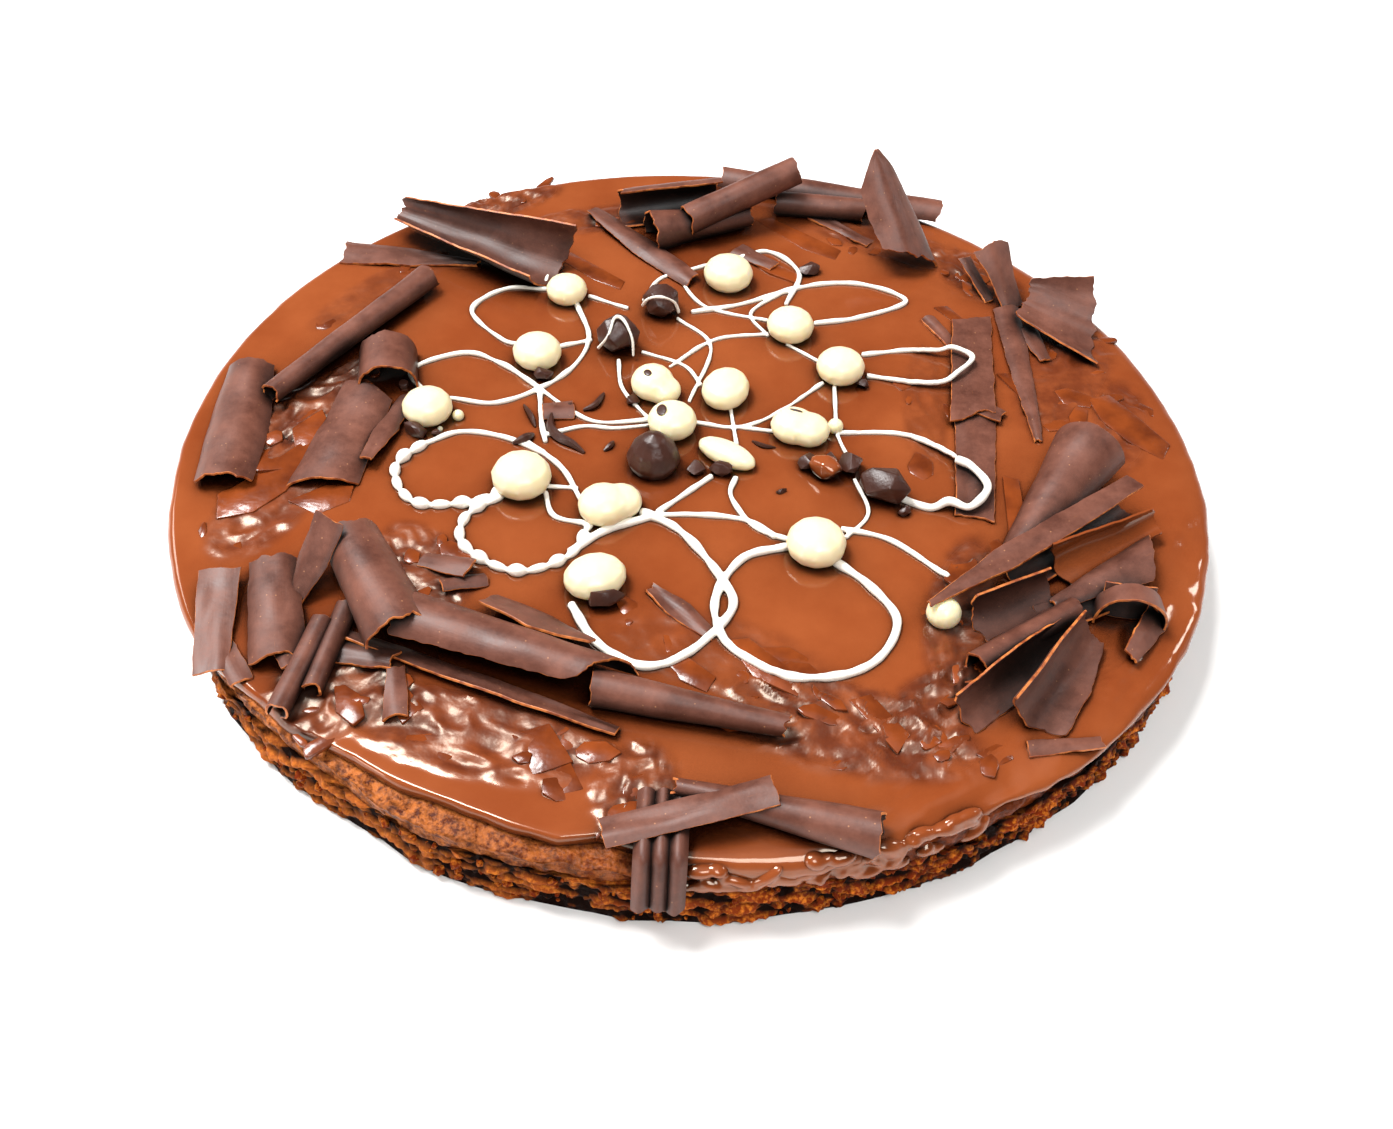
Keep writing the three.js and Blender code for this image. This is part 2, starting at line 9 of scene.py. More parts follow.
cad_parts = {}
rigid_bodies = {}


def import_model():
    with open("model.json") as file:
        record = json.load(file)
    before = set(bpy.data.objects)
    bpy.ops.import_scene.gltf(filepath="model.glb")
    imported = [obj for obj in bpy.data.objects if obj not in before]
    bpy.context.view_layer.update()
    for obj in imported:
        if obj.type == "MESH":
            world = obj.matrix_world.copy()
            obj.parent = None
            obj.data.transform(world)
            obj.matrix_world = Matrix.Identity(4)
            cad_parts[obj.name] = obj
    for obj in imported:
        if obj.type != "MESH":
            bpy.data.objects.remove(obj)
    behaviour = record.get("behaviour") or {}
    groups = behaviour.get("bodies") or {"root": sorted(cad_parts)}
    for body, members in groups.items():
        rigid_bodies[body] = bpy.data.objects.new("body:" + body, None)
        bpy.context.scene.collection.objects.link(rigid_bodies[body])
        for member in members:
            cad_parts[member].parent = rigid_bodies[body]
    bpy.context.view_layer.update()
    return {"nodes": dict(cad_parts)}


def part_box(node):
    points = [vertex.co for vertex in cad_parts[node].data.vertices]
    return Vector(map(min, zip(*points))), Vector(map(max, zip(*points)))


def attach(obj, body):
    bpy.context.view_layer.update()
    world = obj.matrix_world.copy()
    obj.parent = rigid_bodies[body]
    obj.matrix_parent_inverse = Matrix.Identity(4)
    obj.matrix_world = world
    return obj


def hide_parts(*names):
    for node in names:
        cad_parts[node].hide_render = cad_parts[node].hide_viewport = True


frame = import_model()

# Sponge
# A flat disc of baked chocolate crumb, 12 mm tall, turned out of its ring. Its side is the torn crumb
# itself: craggy, full of small holes and drawn out in rough level bands, with painted shade that darkens
# it where it lies deep and towards the foot. At the left a knife freed it from the ring, so there the
# crumb is cut smoother and paler.
MM = 0.001
RIM_CORNERS = 96
SPONGE_COLUMNS = 1440
SPONGE_ROWS = 26
SPONGE_FOOT = 1.0 * MM
CRUMB_INSET = 0.6 * MM
FOOT_SHADE = 0.6
FOOT_HEIGHT = 6 * MM
CRUMB_CRAGS = [
    ("CLOUDS", 9.0 * MM, 1.8 * MM),
    ("VORONOI", 3.4 * MM, 2.6 * MM),
    ("VORONOI", 1.5 * MM, -1.1 * MM),
]
CRUMB_BANDS = [(7.0, 1.7, 1.7), (2.6, 0.9, 0.8)]
CUT_SHARES = [(0, 0.0), (160, 0.1), (190, 1.0), (243, 1.0), (266, 0.35), (285, 0.0), (360, 0.0)]
CUT_SMOOTHING = 0.3
CUT_FILL = 0.3


def points_of(piece):
    """The places of a mesh's vertices, one row each."""
    points = np.empty(3 * len(piece.data.vertices))
    piece.data.vertices.foreach_get("co", points)
    return points.reshape(-1, 3)


def move_points(piece, points):
    piece.data.vertices.foreach_set("co", np.ascontiguousarray(points).ravel())
    piece.data.update()


def outline_of(node):
    """How far out a CAD node reaches, as a function of the bearing in radians."""
    corners = points_of(frame["nodes"][node])
    turn = np.arctan2(corners[:, 1], corners[:, 0]) / (2 * math.pi) % 1
    column = np.round(turn * RIM_CORNERS).astype(int) % RIM_CORNERS
    reach = np.zeros(RIM_CORNERS)
    np.maximum.at(reach, column, np.hypot(corners[:, 0], corners[:, 1]))
    spots = np.arange(RIM_CORNERS + 1) * 2 * math.pi / RIM_CORNERS
    closed = np.append(reach, reach[0])
    return lambda bearing: np.interp(bearing % (2 * math.pi), spots, closed)


def at_bearing(table, bearing):
    """A value that is given by bearing in degrees, at bearings in radians."""
    spots, values = zip(*table)
    return np.interp(np.degrees(bearing) % 360, spots, values)


def cut_share(points):
    """How far the side is cut and not torn, from 0 to 1."""
    return at_bearing(CUT_SHARES, np.arctan2(points[:, 1], points[:, 0]))


def select_only(piece):
    bpy.ops.object.select_all(action="DESELECT")
    piece.select_set(True)
    bpy.context.view_layer.objects.active = piece


def apply_modifiers(piece):
    select_only(piece)
    for modifier in list(piece.modifiers):
        bpy.ops.object.modifier_apply(modifier=modifier.name)


def add_layer(name, node, columns, rows):
    """A disc as tall as a CAD node, its side split into rows."""
    low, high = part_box(node)
    bpy.ops.object.select_all(action="DESELECT")
    middle = (0, 0, (low.z + high.z) / 2)
    tall = high.z - low.z
    bpy.ops.mesh.primitive_cylinder_add(vertices=columns, radius=high.x, depth=tall, location=middle)
    piece = bpy.context.object
    piece.name = name
    bpy.ops.object.transform_apply(location=True)
    bpy.context.tool_settings.mesh_select_mode = (False, True, False)
    bpy.ops.object.mode_set(mode="EDIT")
    bpy.ops.mesh.select_all(action="DESELECT")
    bpy.ops.object.mode_set(mode="OBJECT")
    heights = points_of(piece)[:, 2]
    for edge in piece.data.edges:
        start, end = edge.vertices
        edge.select = abs(heights[start] - heights[end]) > tall / 2
    bpy.ops.object.mode_set(mode="EDIT")
    bpy.ops.mesh.subdivide(number_cuts=rows - 1)
    bpy.ops.object.mode_set(mode="OBJECT")
    return piece


def fit_outline(piece, outline, inset):
    """Moves a round piece's side to an outline, a little inside it."""
    points = points_of(piece)
    radius = np.hypot(points[:, 0], points[:, 1])
    bearing = np.arctan2(points[:, 1], points[:, 0])
    scale = (outline(bearing) - inset) / radius.max()
    points[:, 0] *= scale
    points[:, 1] *= scale
    move_points(piece, points)


def keep_attribute(piece, name, values):
    layer = piece.data.attributes.new(name, "FLOAT", "POINT")
    layer.data.foreach_set("value", np.asarray(values, np.float32))


def colour(code):
    """An sRGB hex value as linear red, green, blue and alpha."""
    shares = [int(code[k:k + 2], 16) / 255 for k in (1, 3, 5)]
    return [s / 12.92 if s <= 0.04045 else ((s + 0.055) / 1.055) ** 2.4 for s in shares] + [1.0]


def add_node(tree, kind, values=None, links=None, **settings):
    """Adds a shader node with its settings, socket values and links."""
    node = tree.nodes.new("ShaderNode" + kind)
    for name, value in settings.items():
        setattr(node, name, value)
    for socket, value in (values or {}).items():
        node.inputs[socket].default_value = value
    for socket, source in (links or {}).items():
        tree.links.new(source, node.inputs[socket])
    return node


def new_material(name):
    material = bpy.data.materials.new(name)
    material.use_nodes = True
    return material, material.node_tree, material.node_tree.nodes["Principled BSDF"]


sponge = add_layer("sponge_crumb", "sponge", SPONGE_COLUMNS, SPONGE_ROWS)
sponge_outline = outline_of("sponge")
fit_outline(sponge, sponge_outline, CRUMB_INSET)
side = sponge.vertex_groups.new(name="side")
cut = cut_share(points_of(sponge))
for index, height in enumerate(points_of(sponge)[:, 2]):
    side.add([index], min(1.0, height / SPONGE_FOOT) * (1 - CUT_SMOOTHING * cut[index]), "REPLACE")
for kind, size, depth in CRUMB_CRAGS:
    crag = bpy.data.textures.new(f"crag {size / MM:.1f} mm", kind)
    crag.noise_scale = size
    push = sponge.modifiers.new("crag", "DISPLACE")
    push.texture = crag
    push.texture_coords = "LOCAL"
    push.strength = depth
    push.mid_level = 0.5
    push.vertex_group = "side"
apply_modifiers(sponge)
crumb = points_of(sponge)
crumb_radius = np.hypot(crumb[:, 0], crumb[:, 1])
for row, (x, y, z) in enumerate(crumb / MM):
    spots = [Vector((x / long, y / long, z / tall)) for long, tall, size in CRUMB_BANDS]
    band = sum(size * noise.noise(spot) for spot, (long, tall, size) in zip(spots, CRUMB_BANDS))
    band *= 1 - CUT_SMOOTHING * cut[row]
    crumb[row, :2] *= 1 + band * MM * min(1.0, z * MM / SPONGE_FOOT) / max(crumb_radius[row], 1 * MM)
move_points(sponge, crumb)
select_only(sponge)
bpy.ops.object.shade_smooth()
crumb_bearing = np.arctan2(crumb[:, 1], crumb[:, 0])
# Painted shade: the deeper the crumb lies inside its outline, and the nearer the foot, the darker it is
# painted.
crumb_shade_depth = sponge_outline(crumb_bearing) - np.hypot(crumb[:, 0], crumb[:, 1])
foot_shade = FOOT_SHADE * np.clip(1 - crumb[:, 2] / FOOT_HEIGHT, 0, 1)
keep_attribute(sponge, "crumb_shade_depth", crumb_shade_depth / MM + foot_shade - CUT_FILL * cut)
keep_attribute(sponge, "cut", cut)

# Baked cocoa crumb: dry and rough, a warm orange brown with paler patches painted as glints of gold
# reflected light, painted shade nearly black in its holes and towards the foot, and tan where it is cut.
CRUMB_TAN = "#b8692f"
CRUMB_PAINTED_SHADE = "#140400"
CRUMB_BROWN = "#802c07"
CRUMB_GOLD_GLINT = "#dc7a24"
crumb_material, tree, shader = new_material("baked cocoa crumb")
place = add_node(tree, "TexCoord")
# Painted shade, read from the depth attribute: the holes and the foot go nearly black.
depth = add_node(tree, "Attribute", attribute_name="crumb_shade_depth")
holes = add_node(tree, "MapRange", {"From Min": -0.4, "From Max": 0.8},
                 {"Value": depth.outputs["Fac"]})
grit = add_node(tree, "TexNoise", {"Scale": 1 / (1.1 * MM), "Detail": 3.0, "Roughness": 0.65},
                {"Vector": place.outputs["Object"]})
# Painted highlight: noise picks paler patches that stand in for glints of gold reflected light.
gold_glints = add_node(tree, "MapRange", {"From Min": 0.46, "From Max": 0.66}, {"Value": grit.outputs["Fac"]})
glinted_crumb = add_node(tree, "Mix", {6: colour(CRUMB_BROWN), 7: colour(CRUMB_GOLD_GLINT)}, {0: gold_glints.outputs["Result"]},
               data_type="RGBA")
knife = add_node(tree, "Attribute", attribute_name="cut")
cut_face = add_node(tree, "MapRange", {"To Max": 0.55}, {"Value": knife.outputs["Fac"]})
sliced = add_node(tree, "Mix", {7: colour(CRUMB_TAN)}, {0: cut_face.outputs["Result"], 6: glinted_crumb.outputs[2]},
                  data_type="RGBA")
# Painted shade mixed in over the crumb's own colour.
tone = add_node(tree, "Mix", {7: colour(CRUMB_PAINTED_SHADE)}, {0: holes.outputs["Result"], 6: sliced.outputs[2]},
                data_type="RGBA")
bump = add_node(tree, "Bump", {"Strength": 0.7, "Distance": 0.5 * MM}, {"Height": grit.outputs["Fac"]})
tree.links.new(tone.outputs[2], shader.inputs["Base Color"])
tree.links.new(bump.outputs["Normal"], shader.inputs["Normal"])
shader.inputs["Roughness"].default_value = 0.6
shader.inputs["Specular IOR Level"].default_value = 0.06
sponge.data.materials.append(crumb_material)
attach(sponge, "root")
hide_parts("sponge")

# Loose crumbs
# Bits of the same crumb, 1 to 3 mm across, that broke off when the cake left its ring. They cling to its
# torn side, which is moist.
LOOSE_CRUMBS = 620
LOOSE_SIZES = (0.45, 1.3)
LOOSE_SINKS = (0.2, 1.3)
LOOSE_CLEARANCE = 1.4
LOOSE_TURNS = (0, 6)
LOOSE_ROUGH = 0.3


def mostly_small(draw, sizes):
    """A size between two, nearer the smaller one more often."""
    return sizes[0] + (sizes[1] - sizes[0]) * draw.random() ** 2


def new_piece(name, points, faces):
    piece = bpy.data.objects.new(name, bpy.data.meshes.new(name))
    piece.data.from_pydata(points, [], faces)
    bpy.context.scene.collection.objects.link(piece)
    return piece


def scatter(name, model, spots):
    """Copies of a model's mesh joined to one piece, each at its own 4 by 4 placing."""
    base = points_of(model)
    faces = [list(face.vertices) for face in model.data.polygons]
    points = []
    joined = []
    for spot, uneven in spots:
        placed = (base * uneven) @ np.array(spot.to_3x3()).T + np.array(spot.translation)
        joined.extend([corner + len(points) * len(base) for corner in face] for face in faces)
        points.append(placed)
    bpy.data.objects.remove(model)
    return new_piece(name, np.concatenate(points).tolist(), joined)


bpy.ops.object.select_all(action="DESELECT")
bpy.ops.mesh.primitive_ico_sphere_add(subdivisions=1, radius=1)
crumb_model = bpy.context.object
crumb_draw = random.Random(21)
corners = len(crumb_model.data.vertices)
crumb_spots = []
for _ in range(LOOSE_CRUMBS):
    bearing = crumb_draw.uniform(0, 2 * math.pi)
    size = mostly_small(crumb_draw, LOOSE_SIZES)
    reach = float(sponge_outline(bearing)) - crumb_draw.uniform(*LOOSE_SINKS) * MM
    height = crumb_draw.uniform(LOOSE_CLEARANCE * size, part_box("sponge")[1].z / MM - size) * MM
    spot = Matrix.Translation((reach * math.cos(bearing), reach * math.sin(bearing), height))
    spot = spot @ Matrix.Rotation(crumb_draw.uniform(*LOOSE_TURNS), 4, "Z")
    spot = spot @ Matrix.Rotation(crumb_draw.uniform(*LOOSE_TURNS), 4, "X")
    uneven = np.array([[1 + crumb_draw.uniform(-LOOSE_ROUGH, LOOSE_ROUGH)] for _ in range(corners)])
    crumb_spots.append((spot, uneven * size * MM))
crumbs = scatter("loose_crumbs", crumb_model, crumb_spots)
keep_attribute(crumbs, "crumb_shade_depth", np.zeros(len(crumbs.data.vertices)))
crumbs.data.materials.append(crumb_material)
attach(crumbs, "root")

# Mousse
# A soft dark layer spread on the sponge. It was pressed out a little at the front, where it shows as
# a low ledge of smooth, moist folds under the edge of the glaze. At the left it is cut with the sponge.
MOUSSE_COLUMNS = 960
MOUSSE_ROWS = 7
MOUSSE_LEDGE_RINGS = 12
MOUSSE_LEDGE_STEP = 1.1 * MM
MOUSSE_SPREAD = 0.25 * MM
MOUSSE_SHEET_RADIUS = 105 * MM
MOUSSE_FOLDS = [(11.0, 3.0, 1.0), (4.0, 1.6, 0.9), (1.8, 1.0, 0.6)]
MOUSSE_LUMP = 0.9
MOUSSE_LUMP_WIDTH = 5

mousse = add_layer("mousse_layer", "mousse", MOUSSE_COLUMNS, MOUSSE_ROWS)
mousse_low, mousse_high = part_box("mousse")
bpy.context.tool_settings.mesh_select_mode = (False, False, True)
for face in mousse.data.polygons:
    face.select = face.center.z > mousse_high.z - MOUSSE_SPREAD and len(face.vertices) > 4
bpy.ops.object.mode_set(mode="EDIT")
for _ in range(MOUSSE_LEDGE_RINGS):
    bpy.ops.mesh.inset(thickness=MOUSSE_LEDGE_STEP)
bpy.ops.object.mode_set(mode="OBJECT")
fit_outline(mousse, outline_of("mousse"), 0)
folds = points_of(mousse)
cut = cut_share(folds)
mousse_middle = (mousse_low.z + mousse_high.z) / 2
outer = np.abs(folds[:, 2] - mousse_middle) > MM
folds[:, 2] += np.sign(folds[:, 2] - mousse_middle) * MOUSSE_SPREAD * outer
for row, point in enumerate(folds):
    radius = math.hypot(point[0], point[1])
    if radius < MOUSSE_SHEET_RADIUS:
        continue
    x, y, z = point / MM
    spots = [Vector((x / wide, y / wide, z / tall)) for wide, tall, size in MOUSSE_FOLDS]
    push = sum(size * noise.noise(spot) for spot, (wide, tall, size) in zip(spots, MOUSSE_FOLDS))
    folds[row, :2] *= 1 + push * (1 - CUT_SMOOTHING * cut[row]) * MM / radius
    if point[2] > mousse_middle:
        lump = Vector((x / MOUSSE_LUMP_WIDTH, y / MOUSSE_LUMP_WIDTH, 9))
        folds[row, 2] += MOUSSE_LUMP * MM * noise.noise(lump)
move_points(mousse, folds)
keep_attribute(mousse, "cut", cut)
select_only(mousse)
bpy.ops.object.shade_smooth()

# Chocolate mousse: fine and moist, so dark with a soft wet shine, and paler where the knife left crumb
# on it.
MOUSSE_PORE = "#491b08"
MOUSSE_TAN = "#b2652f"
MOUSSE_DARK = "#2e0f04"
MOUSSE_LIGHT = "#7c3713"
mousse_material, tree, shader = new_material("moist chocolate mousse")
place = add_node(tree, "TexCoord")
clots = add_node(tree, "TexNoise", {"Scale": 1 / (3 * MM), "Detail": 5.0, "Roughness": 0.65},
                 {"Vector": place.outputs["Object"]})
clotted = add_node(tree, "MapRange", {"From Min": 0.36, "From Max": 0.64}, {"Value": clots.outputs["Fac"]})
tone = add_node(tree, "Mix", {6: colour(MOUSSE_DARK), 7: colour(MOUSSE_LIGHT)},
                {0: clotted.outputs["Result"]}, data_type="RGBA")
knife = add_node(tree, "Attribute", attribute_name="cut")
pores = add_node(tree, "TexNoise", {"Scale": 1 / (1.8 * MM), "Detail": 4.0, "Roughness": 0.7},
                 {"Vector": place.outputs["Object"]})
porous = add_node(tree, "MapRange", {"From Min": 0.38, "From Max": 0.56}, {"Value": pores.outputs["Fac"]})
crumbed = add_node(tree, "Mix", {6: colour(MOUSSE_PORE), 7: colour(MOUSSE_TAN)},
                   {0: porous.outputs["Result"]}, data_type="RGBA")
patches = add_node(tree, "MapRange", {"From Min": 0.36, "From Max": 0.56, "To Min": 0.35},
                   {"Value": clots.outputs["Fac"]})
left_on = add_node(tree, "Math", {}, {0: knife.outputs["Fac"], 1: patches.outputs["Result"]},
                   operation="MULTIPLY")
sliced = add_node(tree, "Mix", {}, {0: left_on.outputs["Value"], 6: tone.outputs[2], 7: crumbed.outputs[2]},
                  data_type="RGBA")
grain = add_node(tree, "TexNoise", {"Scale": 1 / (1.2 * MM), "Detail": 4.0},
                 {"Vector": place.outputs["Object"]})
bump = add_node(tree, "Bump", {"Strength": 0.9, "Distance": 0.6 * MM}, {"Height": grain.outputs["Fac"]})
tree.links.new(sliced.outputs[2], shader.inputs["Base Color"])
tree.links.new(bump.outputs["Normal"], shader.inputs["Normal"])
shader.inputs["Roughness"].default_value = 0.42
shader.inputs["Specular IOR Level"].default_value = 0.12
mousse.data.materials.append(mousse_material)
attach(mousse, "root")
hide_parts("mousse")

# Glaze
# Milk chocolate poured over the mousse. It set level with a wet shine, with a thick rounded lip at the
# right and a thin edge at the front left. Round the curls it was dragged into ripples before it set.
GLAZE_CELLS = 312
LIP_RING_SHARE = 0.07
LIP_LAST_ANGLE = math.radians(-40)

# The lip's widths, drips and roughness go by bearing in degrees, from the right towards the back.
LIP_WIDTHS = [
    (0, 9.0), (40, 6.0), (70, 3.5), (180, 2.8), (215, 1.6), (235, 1.0), (262, 1.2), (285, 4.0),
    (310, 9.0), (360, 9.0),
]
DRIPS = [
    (0, 0.8), (205, 0.5), (225, 0.0), (262, 0.0), (272, 3.5), (284, 4.6), (298, 3.6), (312, 1.5),
    (360, 0.8),
]
DRIP_WIDTH = 6
DRIP_BULGE = 0.4
LIP_WAVES = [(16.0, 0.7), (6.0, 0.35)]
LIP_ROUGHNESS = [(0, 1.0), (258, 1.0), (268, 2.4), (300, 2.4), (318, 1.2), (360, 1.0)]
SWELL = [(46.0, 0.22), (21.0, 0.09)]
SMEAR_FADE = 0.55
FOLD_SEED = 8
FOLD_WARP = 0.7
FOLD_WARP_SCALE = 0.6
FOLD_MIX = (0.76, 0.24)
FINE_FOLD_SCALE = 2.3
FOLD_LEVEL = 0.4
LONGEST_RIPPLE = 15

# Each dragged patch has its middle, its reach along and across its heading, and its folds' height and size.
SMEARS = [
    {"at": (-45, -93), "reach": (34, 12), "heading": -12, "height": 1.4, "grain": (14, 6)},
    {"at": (-76, -86), "reach": (22, 12), "heading": 38, "height": 1.3, "grain": (9, 5)},
    {"at": (36, -86), "reach": (34, 14), "heading": -12, "height": 1.3, "grain": (8, 5)},
    {"at": (8, -68), "reach": (30, 13), "heading": -16, "height": 0.5, "grain": (10, 6)},
    {"at": (-102, 4), "reach": (36, 10), "heading": 58, "height": 1.2, "grain": (10, 3.5)},
    {"at": (-104, -30), "reach": (22, 12), "heading": 70, "height": 0.8, "grain": (10, 5)},
    {"at": (-62, -46), "reach": (18, 10), "heading": -50, "height": 1.0, "grain": (6, 4)},
    {"at": (63, -50), "reach": (28, 9), "heading": 75, "height": 0.9, "grain": (7, 4)},
    {"at": (58, -78), "reach": (18, 11), "heading": 30, "height": 1.1, "grain": (7, 4)},
    {"at": (100, 36), "reach": (28, 13), "heading": 60, "height": 0.8, "grain": (8, 5)},
    {"at": (-67, 105), "reach": (26, 8), "heading": 32, "height": 1.6, "grain": (7, 4)},
    {"at": (-92, 60), "reach": (30, 8), "heading": 50, "height": 0.6, "grain": (14, 5)},
    {"at": (57, 95), "reach": (32, 10), "heading": -24, "height": 0.8, "grain": (8, 4)},
    {"at": (-9, -104), "reach": (13, 10), "heading": 70, "height": 1.0, "grain": (6, 4)},
    {"at": (80, 82), "reach": (20, 11), "heading": -50, "height": 0.8, "grain": (7, 4)},
    {"at": (112, 18), "reach": (22, 9), "heading": 80, "height": 0.8, "grain": (7, 4)},
    {"at": (60, 20), "reach": (30, 7), "heading": 88, "height": 0.5, "grain": (8, 4)},
    {"at": (113, -50), "reach": (52, 14), "heading": 66, "height": 1.2, "grain": (24, 6)},
    {"at": (62, -104), "reach": (44, 13), "heading": 27, "height": 1.0, "grain": (24, 7)},
    {"at": (-36, 100), "reach": (26, 8), "heading": 20, "height": 0.9, "grain": (9, 4)},
]
RIPPLES = [smear for smear in SMEARS if smear["grain"][0] <= LONGEST_RIPPLE]
POURED_TOP = 20.0 * MM
LIP_DROP = (POURED_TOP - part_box("glaze")[0].z) / (1 - math.sin(LIP_LAST_ANGLE))
GLAZE_CORNER = math.radians(50)


def dragged(spots, smear):
    """Places along and across a dragged patch, all in mm, and how deep inside it they lie from 0 to 1."""
    turn = math.radians(smear["heading"])
    away = spots - np.array(smear["at"])
    along = away @ (math.cos(turn), math.sin(turn))
    across = away @ (-math.sin(turn), math.cos(turn))
    inside = 1 - (along / smear["reach"][0]) ** 2 - (across / smear["reach"][1]) ** 2
    share = np.clip(inside / SMEAR_FADE, 0, 1)
    return along, across, share * share * (3 - 2 * share)


def fold_at(spot):
    """A sharp-crested ripple, from -1 in its hollows to 1 on its crests."""
    return 1 - 2 * abs(noise.noise(spot + FOLD_WARP * noise.noise_vector(FOLD_WARP_SCALE * spot)))


def glaze_heights(spots):
    """How far the glaze stands over its level at places in mm."""
    heights = np.empty(len(spots))
    for row, (x, y) in enumerate(spots):
        heights[row] = sum(size * noise.noise(Vector((x / wide, y / wide, wide))) for wide, size in SWELL)
    for smear in SMEARS:
        along, across, share = dragged(spots, smear)
        for row in np.flatnonzero(share):
            spot = Vector((along[row] / smear["grain"][0], across[row] / smear["grain"][1], smear["at"][0]))
            fold = FOLD_MIX[0] * fold_at(spot) + FOLD_MIX[1] * fold_at(FINE_FOLD_SCALE * spot)
            heights[row] += smear["height"] * share[row] * (fold - FOLD_LEVEL)
    return heights


# Without a seed, the noise that warps the folds would change from run to run.
noise.seed_set(FOLD_SEED)
bpy.ops.object.select_all(action="DESELECT")
bpy.ops.mesh.primitive_grid_add(x_subdivisions=GLAZE_CELLS, y_subdivisions=GLAZE_CELLS, size=2)
glaze = bpy.context.object
glaze.name = "milk_chocolate_glaze"
square = points_of(glaze)
wide = np.abs(square[:, 0]) >= np.abs(square[:, 1])
ring = np.where(wide, np.abs(square[:, 0]), np.abs(square[:, 1]))
longer = np.where(wide, square[:, 0], square[:, 1])
shorter = np.where(wide, square[:, 1], square[:, 0])
slope = math.pi / 4 * shorter / np.where(longer == 0, 1, longer)
bearing = np.where(wide, slope, math.pi / 2 - slope) + np.where(longer < 0, math.pi, 0)
edge = outline_of("glaze")(bearing)
lip = at_bearing(LIP_WIDTHS, bearing) * MM
past = np.clip((ring - (1 - LIP_RING_SHARE)) / LIP_RING_SHARE, 0, 1)
lip_angle = math.pi / 2 + (LIP_LAST_ANGLE - math.pi / 2) * past
radius = np.minimum(ring / (1 - LIP_RING_SHARE), 1) * (edge - lip) + lip * np.cos(lip_angle)
poured = np.empty_like(square)
poured[:, 0] = radius * np.cos(bearing)
poured[:, 1] = radius * np.sin(bearing)
flat_spots = poured[:, :2] / MM
poured[:, 2] = POURED_TOP - LIP_DROP + LIP_DROP * np.sin(lip_angle)
poured[:, 2] += glaze_heights(flat_spots) * MM * (1 - past)
for row in np.flatnonzero(past):
    x, y = flat_spots[row]
    lump = sum(size * noise.noise(Vector((x / wide, y / wide, 5))) for wide, size in LIP_WAVES)
    lump *= at_bearing(LIP_ROUGHNESS, bearing[row])
    ran = max(0.0, 0.5 + noise.noise(Vector((x / DRIP_WIDTH, y / DRIP_WIDTH, 2))))
    drip = at_bearing(DRIPS, bearing[row]) * ran
    bulge = lump * past[row] + DRIP_BULGE * drip * past[row] ** 2
    poured[row, :2] *= 1 + bulge * MM / radius[row]
    poured[row, 2] -= drip * past[row] ** 2 * MM
move_points(glaze, poured)
worked = np.zeros(len(poured))
for smear in RIPPLES:
    worked = np.maximum(worked, dragged(flat_spots, smear)[2] * min(1.0, smear["height"]))
keep_attribute(glaze, "worked", worked)
bpy.context.tool_settings.mesh_select_mode = (False, True, False)
bpy.ops.object.mode_set(mode="EDIT")
bpy.ops.mesh.select_all(action="SELECT")
bpy.ops.mesh.region_to_loop()
bpy.ops.mesh.edge_face_add()
bpy.ops.mesh.select_all(action="SELECT")
bpy.ops.mesh.normals_make_consistent(inside=False)
bpy.ops.object.mode_set(mode="OBJECT")
select_only(glaze)
bpy.ops.object.shade_smooth_by_angle(angle=GLAZE_CORNER)

# Poured milk chocolate: an amber brown under a wet, mirror-smooth surface, cloudy, a little darker and
# duller where it was dragged, with painted shade, nearly black, close under and round the shavings.
GLAZE_AMBER = "#823d1c"
GLAZE_PALE = "#904925"
GLAZE_DRAGGED = "#5c250f"
GLAZE_PAINTED_SHADE = "#1c0702"
GLAZE_SHEEN = "#fff0dc"
GLAZE_SHADE_WITHIN = 14 * MM
glaze_material, tree, shader = new_material("poured milk chocolate")
place = add_node(tree, "TexCoord")
clouds = add_node(tree, "TexNoise", {"Scale": 1 / (30 * MM), "Detail": 4.0, "Roughness": 0.6},
                  {"Vector": place.outputs["Object"]})
cloudy = add_node(tree, "MapRange", {"From Min": 0.35, "From Max": 0.65}, {"Value": clouds.outputs["Fac"]})
tone = add_node(tree, "Mix", {6: colour(GLAZE_AMBER), 7: colour(GLAZE_PALE)}, {0: cloudy.outputs["Result"]},
                data_type="RGBA")
work = add_node(tree, "Attribute", attribute_name="worked")
streaks = add_node(tree, "TexNoise", {"Scale": 1 / (6 * MM), "Detail": 3.0},
                   {"Vector": place.outputs["Object"]})
streaky = add_node(tree, "MapRange", {"From Min": 0.32, "From Max": 0.6, "To Min": 0.1, "To Max": 0.95},
                   {"Value": streaks.outputs["Fac"]})
darker = add_node(tree, "Math", {}, {0: work.outputs["Fac"], 1: streaky.outputs["Result"]},
                  operation="MULTIPLY")
mixed = add_node(tree, "Mix", {7: colour(GLAZE_DRAGGED)}, {0: darker.outputs["Value"], 6: tone.outputs[2]},
                 data_type="RGBA")
ripple = add_node(tree, "TexNoise", {"Scale": 1 / (7 * MM), "Detail": 2.0},
                  {"Vector": place.outputs["Object"]})
rippled = add_node(tree, "Bump", {"Strength": 0.12, "Distance": 0.3 * MM},
                   {"Height": ripple.outputs["Fac"]})
